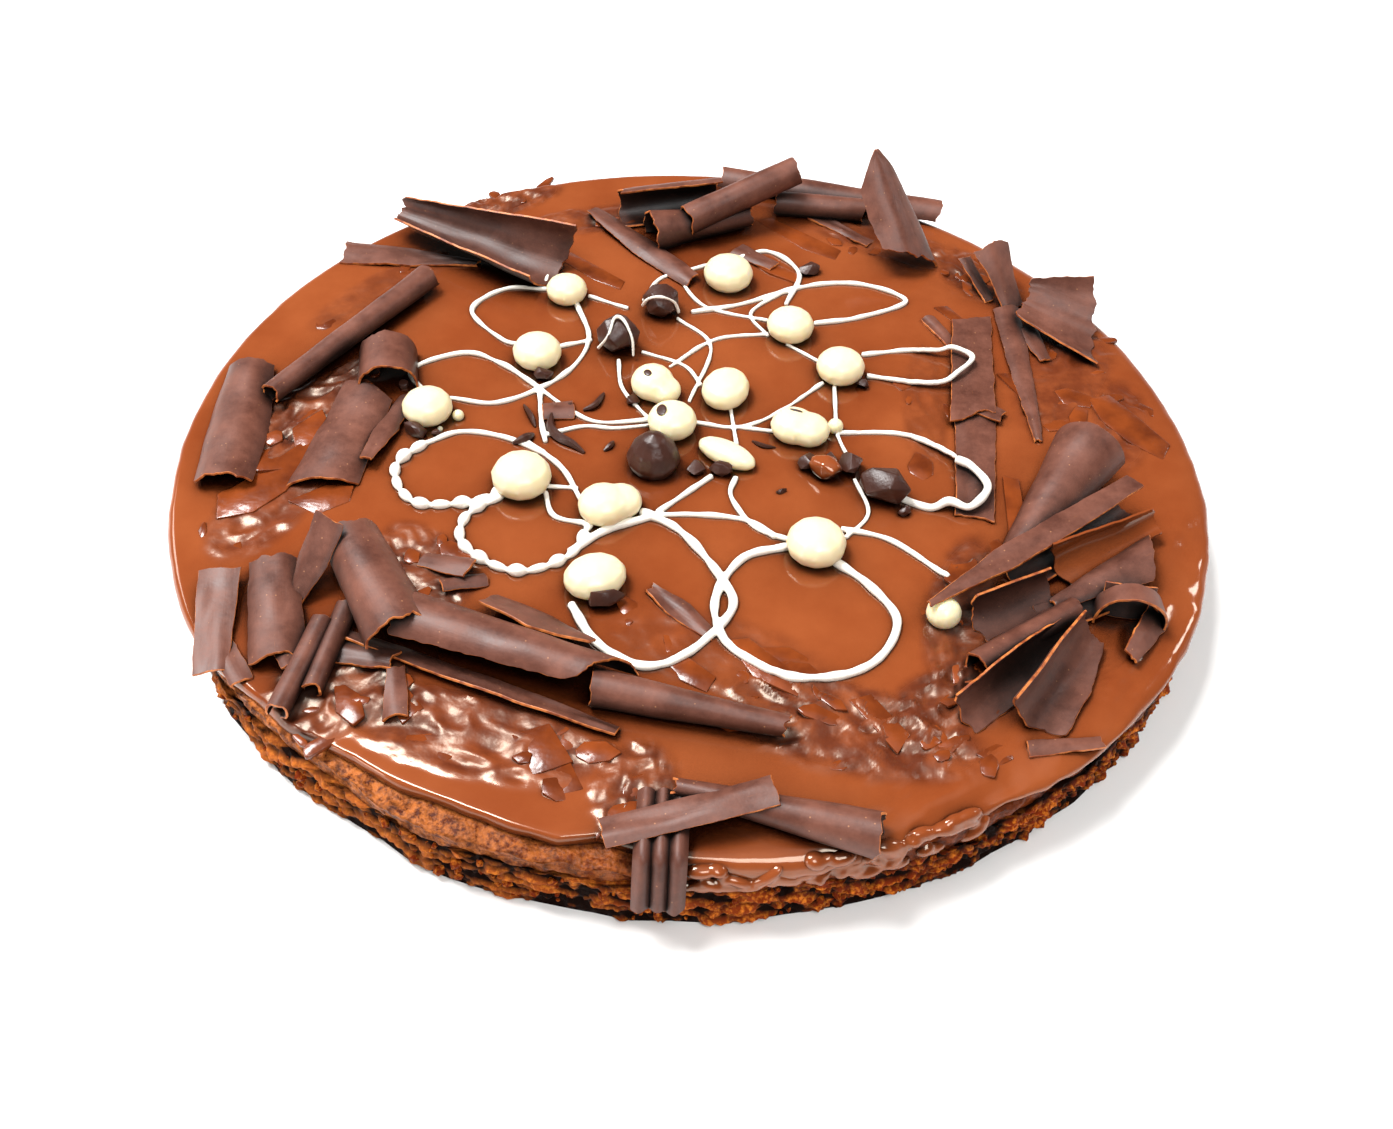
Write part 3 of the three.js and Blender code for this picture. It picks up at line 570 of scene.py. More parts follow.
# Painted shade: ambient occlusion darkens the glaze towards black where shavings and other pieces crowd
# over it.
open_sky = add_node(tree, "AmbientOcclusion", {"Distance": GLAZE_SHADE_WITHIN}, samples=4)
covered_shade = add_node(tree, "MapRange", {"From Min": 0.5, "From Max": 0.9}, {"Value": open_sky.outputs["AO"]})
shaded = add_node(tree, "Mix", {6: colour(GLAZE_PAINTED_SHADE)},
                  {0: covered_shade.outputs["Result"], 7: mixed.outputs[2]}, data_type="RGBA")
wrinkles = add_node(tree, "TexNoise", {"Scale": 1 / (2.4 * MM), "Detail": 2.0},
                    {"Vector": place.outputs["Object"]})
wrinkled = add_node(tree, "Math", {}, {0: wrinkles.outputs["Fac"], 1: work.outputs["Fac"]},
                    operation="MULTIPLY")
bump = add_node(tree, "Bump", {"Strength": 0.35, "Distance": 0.4 * MM},
                {"Height": wrinkled.outputs["Value"], "Normal": rippled.outputs["Normal"]})
set_dull = add_node(tree, "MapRange", {"To Min": 0.11, "To Max": 0.34}, {"Value": work.outputs["Fac"]})
tree.links.new(shaded.outputs[2], shader.inputs["Base Color"])
tree.links.new(bump.outputs["Normal"], shader.inputs["Normal"])
tree.links.new(set_dull.outputs["Result"], shader.inputs["Roughness"])
shader.inputs["IOR"].default_value = 1.62
shader.inputs["Specular Tint"].default_value = colour(GLAZE_SHEEN)
glaze.data.materials.append(glaze_material)
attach(glaze, "root")
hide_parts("glaze")

# Glaze runs
# Glaze that slid over the edge at the front when it had thickened. It set on the side of the mousse in
# glossy lumps and folds that lie over each other.
RUN_COUNT = 46
RUN_BEARINGS = (271, 303)
RUN_LEVELS = (13.0, 18.6)
RUN_RADIUS = 121.2
RUN_SLOPE = 0.2
RUN_HALF_SIZES = [(1.8, 5.0), (1.5, 2.3), (1.0, 1.9)]
RUN_TILT = 0.35
RUN_VOXEL = 0.4 * MM
RUN_EASE = 5


def soften(piece, voxel, rounds):
    """Rounds a piece off as if it had set from soft."""
    skin = piece.modifiers.new("skin", "REMESH")
    skin.mode = "VOXEL"
    skin.voxel_size = voxel
    ease = piece.modifiers.new("ease", "SMOOTH")
    ease.factor = 0.5
    ease.iterations = rounds
    apply_modifiers(piece)
    bpy.ops.object.shade_smooth()


run_draw = random.Random(61)
bpy.ops.object.select_all(action="DESELECT")
bpy.ops.mesh.primitive_uv_sphere_add(segments=20, ring_count=12, radius=1)
run_spots = []
for _ in range(RUN_COUNT):
    bearing_here = math.radians(run_draw.uniform(*RUN_BEARINGS))
    level = run_draw.uniform(*RUN_LEVELS)
    reach = RUN_RADIUS + RUN_SLOPE * (RUN_LEVELS[1] - level)
    middle = Vector((reach * math.cos(bearing_here), reach * math.sin(bearing_here), level)) * MM
    half = [run_draw.uniform(*sizes) * MM for sizes in RUN_HALF_SIZES]
    turned = Matrix.Rotation(bearing_here + math.pi / 2, 4, "Z")
    tilted = Matrix.Rotation(run_draw.gauss(0, RUN_TILT), 4, "Y")
    run_spots.append((Matrix.Translation(middle) @ turned @ tilted @ Matrix.Diagonal((*half, 1)), 1))
runs = scatter("glaze_runs", bpy.context.object, run_spots)
soften(runs, RUN_VOXEL, RUN_EASE)
runs.data.materials.append(glaze_material)
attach(runs, "root")

# Flakes under the glaze
# Broken flakes of chocolate that sank in the glaze while it was soft, so they are coated with it and
# only their upper faces and worn edges stand out. Most lie in the ripples that they were dragged into.
FLAKE_THICKNESS = 1.1
FLAKE_WEAR = 0.4 * MM
BROKEN_CORNER = math.radians(40)
FLAKE_RISE = 0.3
FLAKE_TILT = 0.07
FLAKE_TURN = 0.6
FLAKE_LENGTHS = (5.0, 17.0)
FLAKE_SLIMNESS = (0.35, 0.75)
FLAKE_CORNERS = (5, 8)
FLAKE_CORNER_SLIP = 0.7
FLAKE_CORNER_REACH = (0.75, 1.1)
FLAKES_PER_CM2 = 0.8
FLAKES_WITHIN = 0.95
LARGE_FLAKE_SAG = 0.5
LARGE_FLAKE_UNEVEN = (-0.25, 0.35)
LARGE_FLAKES = [
    [(66, 65), (70, 66), (76, 58), (74, 55)],
    [(14, 105), (19, 106), (40, 91), (38, 86), (28, 91)],
    [(-114, -36), (-116, -28), (-111, -22), (-98, -4), (-96, -8), (-100, -25), (-106, -33)],
    [(-99, -28), (-91, -22), (-84, -22), (-84, -27), (-91, -32)],
    [(-4, -70), (0, -69), (7, -75), (5, -79), (-1, -76)],
    [(9, -64), (14, -63), (26, -74), (25, -79), (15, -74)],
    [(-36, -93), (-28, -90), (-22, -99), (-30, -103)],
    [(-65, -84), (-60, -82), (-55, -88), (-59, -92)],
    [(12, 83), (17, 84), (28, 77), (26, 73), (18, 77)],
    [(-46, 80), (-41, 82), (-24, 69), (-25, 65), (-33, 69)],
    [(78, -5), (82, -6), (82, -20), (80, -35), (77, -33)],
    [(36, -79), (41, -77), (49, -87), (46, -92)],
    [(81, 36), (85, 37), (91, 28), (88, 24)],
    [(105, 27), (111, 30), (117, 21), (124, 11), (121, 5), (113, 11), (107, 19)],
    [(96, 30), (100, 32), (107, 28), (105, 24), (98, 25)],
]


def wear_edges(piece, width):
    worn = piece.modifiers.new("worn edge", "BEVEL")
    worn.width = width
    worn.segments = 2
    apply_modifiers(piece)


def add_plates(name, outlines, thickness, wear):
    """Flat pieces with worn edges, joined to one. Each outline is a ring of places in mm."""
    points = []
    faces = []
    for outline in outlines:
        count = len(outline)
        first = len(points)
        points.extend((x, y, z) for x, y, z in outline)
        points.extend((x, y, z - thickness) for x, y, z in outline)
        faces.append([first + k for k in range(count)])
        faces.append([first + count + k for k in reversed(range(count))])
        for k in range(count):
            after = (k + 1) % count
            faces.append([first + k, first + count + k, first + count + after, first + after])
    piece = new_piece(name, (np.array(points) * MM).tolist(), faces)
    wear_edges(piece, wear)
    bpy.ops.object.mode_set(mode="EDIT")
    bpy.ops.mesh.select_all(action="SELECT")
    bpy.ops.mesh.normals_make_consistent(inside=False)
    bpy.ops.object.mode_set(mode="OBJECT")
    bpy.ops.object.shade_smooth_by_angle(angle=BROKEN_CORNER)
    return piece


def turned_place(middle, turn, along, across):
    """A place along and across a turned line from a middle."""
    return (
        middle[0] + along * math.cos(turn) - across * math.sin(turn),
        middle[1] + along * math.sin(turn) + across * math.cos(turn),
    )


def ragged_ring(draw, middle, turn, length, width):
    """Corners of a broken flake round a middle, in mm."""
    count = draw.randint(*FLAKE_CORNERS)
    ring = []
    for k in range(count):
        angle = 2 * math.pi * (k + draw.uniform(0, FLAKE_CORNER_SLIP)) / count
        along = length / 2 * math.cos(angle) * draw.uniform(*FLAKE_CORNER_REACH)
        across = width / 2 * math.sin(angle) * draw.uniform(*FLAKE_CORNER_REACH)
        ring.append(turned_place(middle, turn, along, across))
    return ring


flake_draw = random.Random(31)
flakes = []
for outline in LARGE_FLAKES:
    ring = np.array(outline[::-1], float)
    level = POURED_TOP / MM + glaze_heights(ring) * LARGE_FLAKE_SAG + FLAKE_RISE
    flakes.append([(*spot, z + flake_draw.uniform(*LARGE_FLAKE_UNEVEN)) for spot, z in zip(ring, level)])
for smear in RIPPLES:
    long, short = smear["reach"]
    turn = math.radians(smear["heading"])
    for _ in range(round(math.pi * long * short / 100 * FLAKES_PER_CM2)):
        reach = math.sqrt(flake_draw.random()) * FLAKES_WITHIN
        around = flake_draw.uniform(0, 2 * math.pi)
        along = long * reach * math.cos(around)
        across = short * reach * math.sin(around)
        middle = turned_place(smear["at"], turn, along, across)
        length = mostly_small(flake_draw, FLAKE_LENGTHS)
        width = length * flake_draw.uniform(*FLAKE_SLIMNESS)
        ring = ragged_ring(flake_draw, middle, turn + flake_draw.gauss(0, FLAKE_TURN), length, width)
        level = POURED_TOP / MM + glaze_heights(np.array([middle]))[0]
        level += flake_draw.uniform(-FLAKE_RISE, FLAKE_RISE)
        lean = [flake_draw.gauss(0, FLAKE_TILT) for _ in range(2)]
        flakes.append([
            (x, y, level + lean[0] * (x - middle[0]) + lean[1] * (y - middle[1])) for x, y in ring
        ])
sunk_flakes = add_plates("flakes_under_glaze", flakes, FLAKE_THICKNESS, FLAKE_WEAR)

# Chocolate under glaze: the glaze's wet shine over a darker, browner piece.
COATED_DARK = "#5e270d"
COATED_BROWN = "#843d17"
coated_material, tree, shader = new_material("chocolate under glaze")
place = add_node(tree, "TexCoord")
patches = add_node(tree, "TexNoise", {"Scale": 1 / (9 * MM), "Detail": 3.0},
                   {"Vector": place.outputs["Object"]})
patchy = add_node(tree, "MapRange", {"From Min": 0.35, "From Max": 0.65}, {"Value": patches.outputs["Fac"]})
tone = add_node(tree, "Mix", {6: colour(COATED_DARK), 7: colour(COATED_BROWN)},
                {0: patchy.outputs["Result"]}, data_type="RGBA")
grain = add_node(tree, "TexNoise", {"Scale": 1 / (3.5 * MM), "Detail": 2.0},
                 {"Vector": place.outputs["Object"]})
bump = add_node(tree, "Bump", {"Strength": 0.4, "Distance": 0.5 * MM}, {"Height": grain.outputs["Fac"]})
tree.links.new(tone.outputs[2], shader.inputs["Base Color"])
tree.links.new(bump.outputs["Normal"], shader.inputs["Normal"])
shader.inputs["Roughness"].default_value = 0.22
sunk_flakes.data.materials.append(coated_material)
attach(sunk_flakes, "root")

# Piped flower
# White chocolate piped on the glaze in one thin thread: eight long petals, drawn through the drops. It
# sat down round as it set, thinner in the middle, and hangs in beads where the hand slowed.
PIPED_STEP = 0.6
PIPED_SIDES = 3
PIPED_SINK = 0.3
PIPED_VOXEL = 0.32 * MM
PIPED_EASE = 3
PIPED_UNEVEN = 0.4
PIPED_UNEVEN_LENGTH = 5
BEAD_SPACING = 5.0
BEAD_ACROSS = 2.9
BEAD_NECK = 0.65
THICK, MEDIUM, THIN, FINE = 2.1, 1.45, 1.15, 0.95

# Each line has its width and the places it runs through, with a height where it leaves the glaze.
PIPED_LINES = [
    (MEDIUM, [(-46, 63), (-58, 62), (-66, 51), (-56, 39), (-50, 37)]),
    (MEDIUM, [(-37, 57), (-32, 42), (-35, 29), (-43, 19), (-54, 12), (-66, 13)]),
    (MEDIUM, [(-71, 13), (-74, 16), (-78, 24), (-65, 32), (-54, 28), (-43, 19)]),
    (THIN, [(-43, 19), (-34, 11), (-26, 7), (-13, 9)]),
    (THIN, [(-39, 1), (-30, 5), (-22, 5), (-13, 7)]),
    (MEDIUM, [(-43, 19), (-41, 6), (-39, -2)]),
    (MEDIUM, [(-39, -6), (-50, -1), (-61, 0), (-69, -5)]),
    (MEDIUM, [(-44, -2), (-34, -11), (-28, -22)]),
    (THIN, [(-37, -18), (-29, -18)]),
    (MEDIUM, [(-37, -20), (-34, -28), (-26, -30)]),
    (THICK, [(-13, -25), (-3, -31), (7, -45), (10, -55), (1, -68), (-9, -73), (-20, -67), (-27, -56)]),
    (THICK, [
        (23, -34), (12, -39), (6, -53), (10, -66), (25, -74), (41, -69), (48, -56), (42, -45), (34, -38),
    ]),
    (THICK, [(-29, -40), (-21, -32), (-9, -26)]),
    (MEDIUM, [(36, -27), (48, -30), (61, -41)]),
    (THIN, [(40, -9), (43, -21), (37, -30)]),
    (MEDIUM, [(36, 8), (53, 9), (64, 2, 1.2), (66, -1, 2.2)]),
    (THICK, [
        (66, -2, 2.2), (70, -5, 2.4), (73, -12, 2.4), (68, -19, 2.2), (63, -17, 1.6), (58, -18), (49, -14),
    ]),
    (MEDIUM, [
        (44, 41), (56, 44), (65, 43, 1.6), (69, 43, 2.9), (74, 39, 3.1), (70, 33, 2.9), (63, 29, 1.2),
        (45, 32),
    ]),
    (MEDIUM, [(31, 54), (44, 58), (58, 67), (46, 74), (30, 72), (10, 61), (-4, 56)]),
    (MEDIUM, [(8, 83), (18, 88), (27, 78), (23, 62)]),
    (THIN, [(22, 68), (13, 57), (18, 47)]),
    (THIN, [(18, 54), (0, 59), (-9, 73)]),
    (THIN, [(-18, 60), (-14, 71), (-6, 76), (1, 80)]),
    (THIN, [(-8, 53), (2, 41), (-3, 17)]),
    (THIN, [(-17, 37), (-5, 32), (0, 24)]),
    (THIN, [(18, 48), (3, 44), (-9, 31)]),
    (THIN, [(-23, 33), (-21, 21), (-13, 9)]),
    (THIN, [(-40, 37), (-31, 41)]),
    (THIN, [(-34, 61), (-22, 56)]),
    (THIN, [(-47, 66), (-46, 72), (-43, 75)]),
    (THIN, [(23, 44), (32, 37)]),
    (THIN, [(33, 28), (20, 14), (10, 8), (-1, 9)]),
    (THIN, [(36, 27), (36, 13)]),
    (THIN, [(8, 16), (10, 1)]),
    (THIN, [(10, 8), (20, 7)]),
    (MEDIUM, [(4, -11), (-9, -25)]),
    (MEDIUM, [(10, -11), (9, -18), (15, -28), (24, -32)]),
    (MEDIUM, [(-11, -26), (1, -25), (13, -26), (20, -31)]),
    (FINE, [(36, 8), (38, 1), (41, -5)]),
    (FINE, [
        (-29, 36, 1), (-26, 35, 6.5), (-24.5, 39, 9.6), (-22, 38, 9.6), (-19.5, 35, 6), (-19, 33.5, 1),
    ]),
    (FINE, [(-18, 55, 2), (-16, 52.5, 6.5), (-12.5, 51.5, 8), (-9, 53, 5.5), (-7.5, 54, 1)]),
]
BEADED_LINES = [
    (MEDIUM, [(-69, -5), (-74, -11), (-75, -16), (-72, -23), (-66, -27), (-54, -25), (-48, -21)]),
    (THICK, [(-47, -22), (-55, -30), (-54, -40), (-41, -47), (-29, -41), (-25, -30)]),
]


def smooth_path(points, step):
    """Points at a step along a smooth curve through the given ones."""
    spots = [Vector((*point, 0) if len(point) == 2 else point) for point in points]
    spots = [2 * spots[0] - spots[1], *spots, 2 * spots[-1] - spots[-2]]
    path = []
    for a, b, c, d in zip(spots, spots[1:], spots[2:], spots[3:]):
        count = max(2, round((c - b).length / step))
        for k in range(count):
            t = k / count
            bend = (2 * a - 5 * b + 4 * c - d) * t**2 + (3 * b - a - 3 * c + d) * t**3
            path.append(0.5 * (2 * b + (c - a) * t + bend))
    return path + [spots[-2]]


def add_threads(name, threads, thickness, sides):
    """Round threads as one mesh. Each has its places, with radii as multiples of the thickness."""
    curve = bpy.data.curves.new(name, "CURVE")
    curve.dimensions = "3D"
    curve.bevel_depth = thickness
    curve.bevel_resolution = sides
    curve.use_fill_caps = True
    for thread in threads:
        line = curve.splines.new("POLY")
        line.points.add(len(thread) - 1)
        for point, (place, radius) in zip(line.points, thread):
            point.co = (*place, 1)
            point.radius = radius
    piece = bpy.data.objects.new(name, curve)
    bpy.context.scene.collection.objects.link(piece)
    select_only(piece)
    bpy.ops.object.convert(target="MESH")
    return bpy.context.object


hand = random.Random(5)
piped_threads = []
for beaded, lines in ((False, PIPED_LINES), (True, BEADED_LINES)):
    for width, points in lines:
        path = smooth_path(points, PIPED_STEP)
        levels = glaze_heights(np.array([spot[:2] for spot in path]))
        thread = []
        start = hand.uniform(0, 9)
        run = 0.0
        for k, spot in enumerate(path):
            run += (spot - path[k - 1]).length if k else 0
            swell = 1 + PIPED_UNEVEN * noise.noise(Vector((run / PIPED_UNEVEN_LENGTH, start, 3)))
            reach = width / 2 * swell * MM
            if beaded:
                past = 2 * (run / BEAD_SPACING % 1) - 1
                reach = max(BEAD_NECK * reach, BEAD_ACROSS / 2 * swell * MM * math.sqrt(1 - past * past))
            level = POURED_TOP + (levels[k] + spot.z) * MM
            thread.append(((spot.x * MM, spot.y * MM, level + reach * (1 - 2 * PIPED_SINK)), reach))
        piped_threads.append(thread)
flower = add_threads("piped_flower", piped_threads, 1.0, PIPED_SIDES)
soften(flower, PIPED_VOXEL, PIPED_EASE)

# White chocolate, set from molten: an even milky white with a soft gloss.
PIPED_WHITE = "#fdf9f0"
PIPED_MILK = "#f7f0e0"
piped_material, tree, shader = new_material("piped white chocolate")
place = add_node(tree, "TexCoord")
milk = add_node(tree, "TexNoise", {"Scale": 1 / (3 * MM), "Detail": 2.0},
                {"Vector": place.outputs["Object"]})
tone = add_node(tree, "Mix", {6: colour(PIPED_WHITE), 7: colour(PIPED_MILK)}, {0: milk.outputs["Fac"]},
                data_type="RGBA")
tree.links.new(tone.outputs[2], shader.inputs["Base Color"])
shader.inputs["Roughness"].default_value = 0.28
flower.data.materials.append(piped_material)
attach(flower, "root")

# White drops
# Sixteen drops of ivory white chocolate, let fall on the soft glaze. Each set as a low ball with a
# smooth skin, and some ran into a second drop while they were warm. Three small beads fell beside them.
DROP_COUNT = 16
DROP_VOXEL = 0.5 * MM
DROP_SETTLE = 10
DROP_SEAT = 0.6 * MM
DROP_BEADS = [(-62.6, 5.6, 3.0), (35.6, 9.4, 4.2), (-66.5, 0.5, 1.4)]
DROP_BEAD_RISE = 0.3
WELD = 0.01 * MM


def copy_of(node, name):
    """A new piece with the mesh of a CAD node, its corners merged."""
    piece = bpy.data.objects.new(name, frame["nodes"][node].data.copy())
    bpy.context.scene.collection.objects.link(piece)
    piece.data.materials.clear()
    select_only(piece)
    bpy.ops.object.mode_set(mode="EDIT")
    bpy.ops.mesh.select_all(action="SELECT")
    bpy.ops.mesh.remove_doubles(threshold=WELD)
    bpy.ops.object.mode_set(mode="OBJECT")
    return piece


def seat(piece, depth):
    """Lets a piece down into the glaze, with its top where it was."""
    points = points_of(piece)
    top = points[:, 2].max()
    low = points[:, 2].min()
    points[:, 2] = top - (top - points[:, 2]) * (top - low + depth) / (top - low)
    move_points(piece, points)


# White chocolate drops: ivory, with a smooth soft shine and light that goes a little way in.
DROP_IVORY = "#efe3c0"
DROP_CREAM = "#ecdaae"
drop_material, tree, shader = new_material("set white chocolate")
place = add_node(tree, "TexCoord")
cream = add_node(tree, "TexNoise", {"Scale": 1 / (9 * MM), "Detail": 2.0},
                 {"Vector": place.outputs["Object"]})
tone = add_node(tree, "Mix", {6: colour(DROP_IVORY), 7: colour(DROP_CREAM)}, {0: cream.outputs["Fac"]},
                data_type="RGBA")
tree.links.new(tone.outputs[2], shader.inputs["Base Color"])
shader.inputs["Roughness"].default_value = 0.3
shader.inputs["Subsurface Weight"].default_value = 0.6
shader.inputs["Subsurface Radius"].default_value = (3.0, 2.2, 1.2)
shader.inputs["Subsurface Scale"].default_value = 1.6 * MM
for number in range(1, DROP_COUNT + 1):
    drop = copy_of(f"white_drop_{number}", f"white_chocolate_drop_{number}")
    soften(drop, DROP_VOXEL, DROP_SETTLE)
    seat(drop, DROP_SEAT)
    drop.data.materials.append(drop_material)
    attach(drop, "root")
    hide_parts(f"white_drop_{number}")
bpy.ops.object.select_all(action="DESELECT")
bpy.ops.mesh.primitive_uv_sphere_add(segments=24, ring_count=16, radius=1)
bead_spots = []
for x, y, across in DROP_BEADS:
    level = POURED_TOP / MM + across * DROP_BEAD_RISE
    bead_spots.append((Matrix.Translation(Vector((x, y, level)) * MM), across / 2 * MM))
beads = scatter("white_chocolate_beads", bpy.context.object, bead_spots)
select_only(beads)
bpy.ops.object.shade_smooth()
beads.data.materials.append(drop_material)
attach(beads, "root")

# Dark drop, chunks and bean
# One dark chocolate drop with a blunt tip, three chunks broken from a bar with sharp crests and dull
# faces, and one bean dipped in milk chocolate, so smooth and shiny. Broken bits of the bar lie round
# them, on the glaze and against the drops.
DARK_SETTLE = 3
CHUNK_CREST = 0.35 * MM
CHUNK_CORNER = math.radians(30)
BEAN_VOXEL = 0.45 * MM
BEAN_SETTLE = 14
BIT_CORNERS = 16
BIT_SINK = 0.4
BITS = [
    {"at": (29, -5), "size": (7.6, 6, 5), "turn": 30},
    {"at": (39, -5.5), "size": (6.6, 7.5, 5.5), "turn": -20},
    {"at": (34, -2.5), "size": (5, 3.5, 3.5), "turn": 70},
    {"at": (0, -9.5), "size": (6, 4.5, 3.5), "turn": 60},
    {"at": (6.4, -9.5), "size": (7, 4.5, 4), "turn": -15},
    {"at": (30, 79), "size": (7, 5, 4), "turn": 25},
    {"at": (-42.5, 23.6), "size": (5.5, 4.5, 4.5), "turn": 10},
    {"at": (-72.5, -1.6), "size": (7.5, 4.5, 4.5), "turn": -25},
    {"at": (-67, -1.4), "size": (3, 2.5, 2.5), "turn": 40},
    {"at": (43.6, 27.5), "size": (3.6, 3, 3.5), "turn": 10},
    {"at": (-17.8, 15.6), "size": (4, 3.6, 3.4), "turn": 0},
    {"at": (21.5, -15), "size": (3, 2.2, 1.8), "turn": 20},
    {"at": (-79, 17), "size": (3, 3, 2.4), "turn": 0},
    {"at": (52, -20), "size": (4.5, 3, 3), "turn": 50},
    {"at": (-19.5, -55.5), "size": (10, 4.5, 6.5), "turn": 15},
]
SHREDS = [
    (2.8, [(-38.6, 8.6, 1.2), (-38.3, 3.4, 1.0), (-35.5, -0.2, 0.8), (-31.8, -2.5, 0.8), (-28.8, -5, 0.4)]),
    (1.4, [(-46.3, 11.9, 0.6), (-44, 7.5, 1.2), (-42.4, 3.7, 0.6)]),
    (1.7, [(-30.6, 11.3, 0.6), (-27.7, 12.9, 1.2), (-25.8, 18.5, 0.6)]),
    (2.4, [(-47.1, -3.1, 0.6), (-44.7, -2.3, 1.4), (-42.4, 0.5, 0.8)]),
    (1.5, [(-23.8, -3.8, 0.5), (-22.5, -2.4, 0.9), (-21.7, -0.4, 0.6)]),
    (2.0, [(-35.1, 12.2, 0.8), (-33.1, 12.1, 1.0)]),
    (1.2, [(14, 3, 0.5), (17, 1, 0.9), (20, 1, 0.5)]),
]
SHRED_STEP = 0.8
SHRED_SIDES = 1
SHRED_SINK = 0.3
SHRED_TIP = 0.25
DROP_SPOTS = [
    {"on": 7, "at": (-14.3, 20.1), "size": (2.6, 2.0)},
    {"on": 9, "at": (-9.8, 5.5), "size": (4.2, 2.8)},
    {"on": 10, "at": (24.9, 8.6), "size": (3.6, 0.9)},
]
SPOT_HEIGHT = 0.5

# Dark chocolate, broken or tumbled: nearly black brown with a waxy satin face.
BROKEN_DARK = "#26100a"
BROKEN_BROWN = "#4c281b"
dark_material, tree, shader = new_material("dark chocolate, broken")
place = add_node(tree, "TexCoord")
bloom = add_node(tree, "TexNoise", {"Scale": 1 / (5 * MM), "Detail": 4.0},
                 {"Vector": place.outputs["Object"]})
tone = add_node(tree, "Mix", {6: colour(BROKEN_DARK), 7: colour(BROKEN_BROWN)}, {0: bloom.outputs["Fac"]},
                data_type="RGBA")
grain = add_node(tree, "TexNoise", {"Scale": 1 / (0.8 * MM), "Detail": 3.0},
                 {"Vector": place.outputs["Object"]})
bump = add_node(tree, "Bump", {"Strength": 0.4, "Distance": 0.25 * MM}, {"Height": grain.outputs["Fac"]})
tree.links.new(tone.outputs[2], shader.inputs["Base Color"])
tree.links.new(bump.outputs["Normal"], shader.inputs["Normal"])
shader.inputs["Roughness"].default_value = 0.38

dark_drop = copy_of("dark_drop", "dark_chocolate_drop")
soften(dark_drop, DROP_VOXEL, DARK_SETTLE)
seat(dark_drop, DROP_SEAT)
dark_drop.data.materials.append(dark_material)
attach(dark_drop, "root")
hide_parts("dark_drop")
for number in (1, 2, 3):
    chunk = copy_of(f"dark_chunk_{number}", f"dark_chocolate_chunk_{number}")
    wear_edges(chunk, CHUNK_CREST)
    seat(chunk, DROP_SEAT)
    bpy.ops.object.shade_smooth_by_angle(angle=CHUNK_CORNER)
    chunk.data.materials.append(dark_material)
    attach(chunk, "root")
    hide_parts(f"dark_chunk_{number}")
bean = copy_of("dark_chunk_4", "dipped_bean")
soften(bean, BEAN_VOXEL, BEAN_SETTLE)
seat(bean, DROP_SEAT)
bean.data.materials.append(glaze_material)
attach(bean, "root")
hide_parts("dark_chunk_4")


def join(name, pieces):
    bpy.ops.object.select_all(action="DESELECT")
    for piece in pieces:
        piece.select_set(True)
    bpy.context.view_layer.objects.active = pieces[0]
    bpy.ops.object.join()
    bpy.context.object.name = name
    return bpy.context.object


bit_draw = random.Random(41)
bit_pieces = []
for bit in BITS:
    corners = []
    for _ in range(BIT_CORNERS):
        way = Vector([bit_draw.gauss(0, 1) for _ in range(3)]).normalized()
        corners.append([way[k] * bit["size"][k] / 2 * MM for k in range(3)])
    piece = new_piece("bit", corners, [])
    select_only(piece)
    bpy.ops.object.mode_set(mode="EDIT")
    bpy.ops.mesh.select_all(action="SELECT")
    bpy.ops.mesh.convex_hull()
    bpy.ops.object.mode_set(mode="OBJECT")
    turned = points_of(piece) @ np.array(Matrix.Rotation(math.radians(bit["turn"]), 3, "Z")).T
    turned[:, 2] -= turned[:, 2].min()
    turned += np.array((*bit["at"], POURED_TOP / MM - BIT_SINK)) * MM
    move_points(piece, turned)
    bit_pieces.append(piece)
bits = join("dark_chocolate_bits", bit_pieces)
wear_edges(bits, CHUNK_CREST / 2)
bpy.ops.object.shade_smooth_by_angle(angle=CHUNK_CORNER)
bits.data.materials.append(dark_material)
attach(bits, "root")

shred_threads = []
for width, points in SHREDS:
    path = smooth_path(points, SHRED_STEP)
    thread = []
    for k, spot in enumerate(path):
        full = math.sin(math.pi * (k + 0.5) / len(path))
        place = Vector((spot.x, spot.y, spot.z - SHRED_SINK + POURED_TOP / MM)) * MM
        thread.append((place, width * (SHRED_TIP + (1 - SHRED_TIP) * full)))
    shred_threads.append(thread)
shreds = add_threads("dark_chocolate_shreds", shred_threads, MM / 2, SHRED_SIDES)
bpy.ops.object.shade_smooth_by_angle(angle=BROKEN_CORNER)
shreds.data.materials.append(dark_material)
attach(shreds, "root")

bpy.context.view_layer.update()
spot_places = []
for spot in DROP_SPOTS:
    above = Vector((*spot["at"], 2 * POURED_TOP / MM)) * MM
    drop = bpy.data.objects[f"white_chocolate_drop_{spot['on']}"]
    _, place, upright, _ = drop.ray_cast(above, (0, 0, -1))
    placing = Matrix.Translation(place) @ upright.to_track_quat("Z", "Y").to_matrix().to_4x4()
    spot_places.append((placing, np.array((*spot["size"], SPOT_HEIGHT)) / 2 * MM))
bpy.ops.object.select_all(action="DESELECT")
bpy.ops.mesh.primitive_uv_sphere_add(segments=16, ring_count=10, radius=1)
drop_spots = scatter("dark_chocolate_spots", bpy.context.object, spot_places)
select_only(drop_spots)
bpy.ops.object.shade_smooth()
drop_spots.data.materials.append(dark_material)
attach(drop_spots, "root")

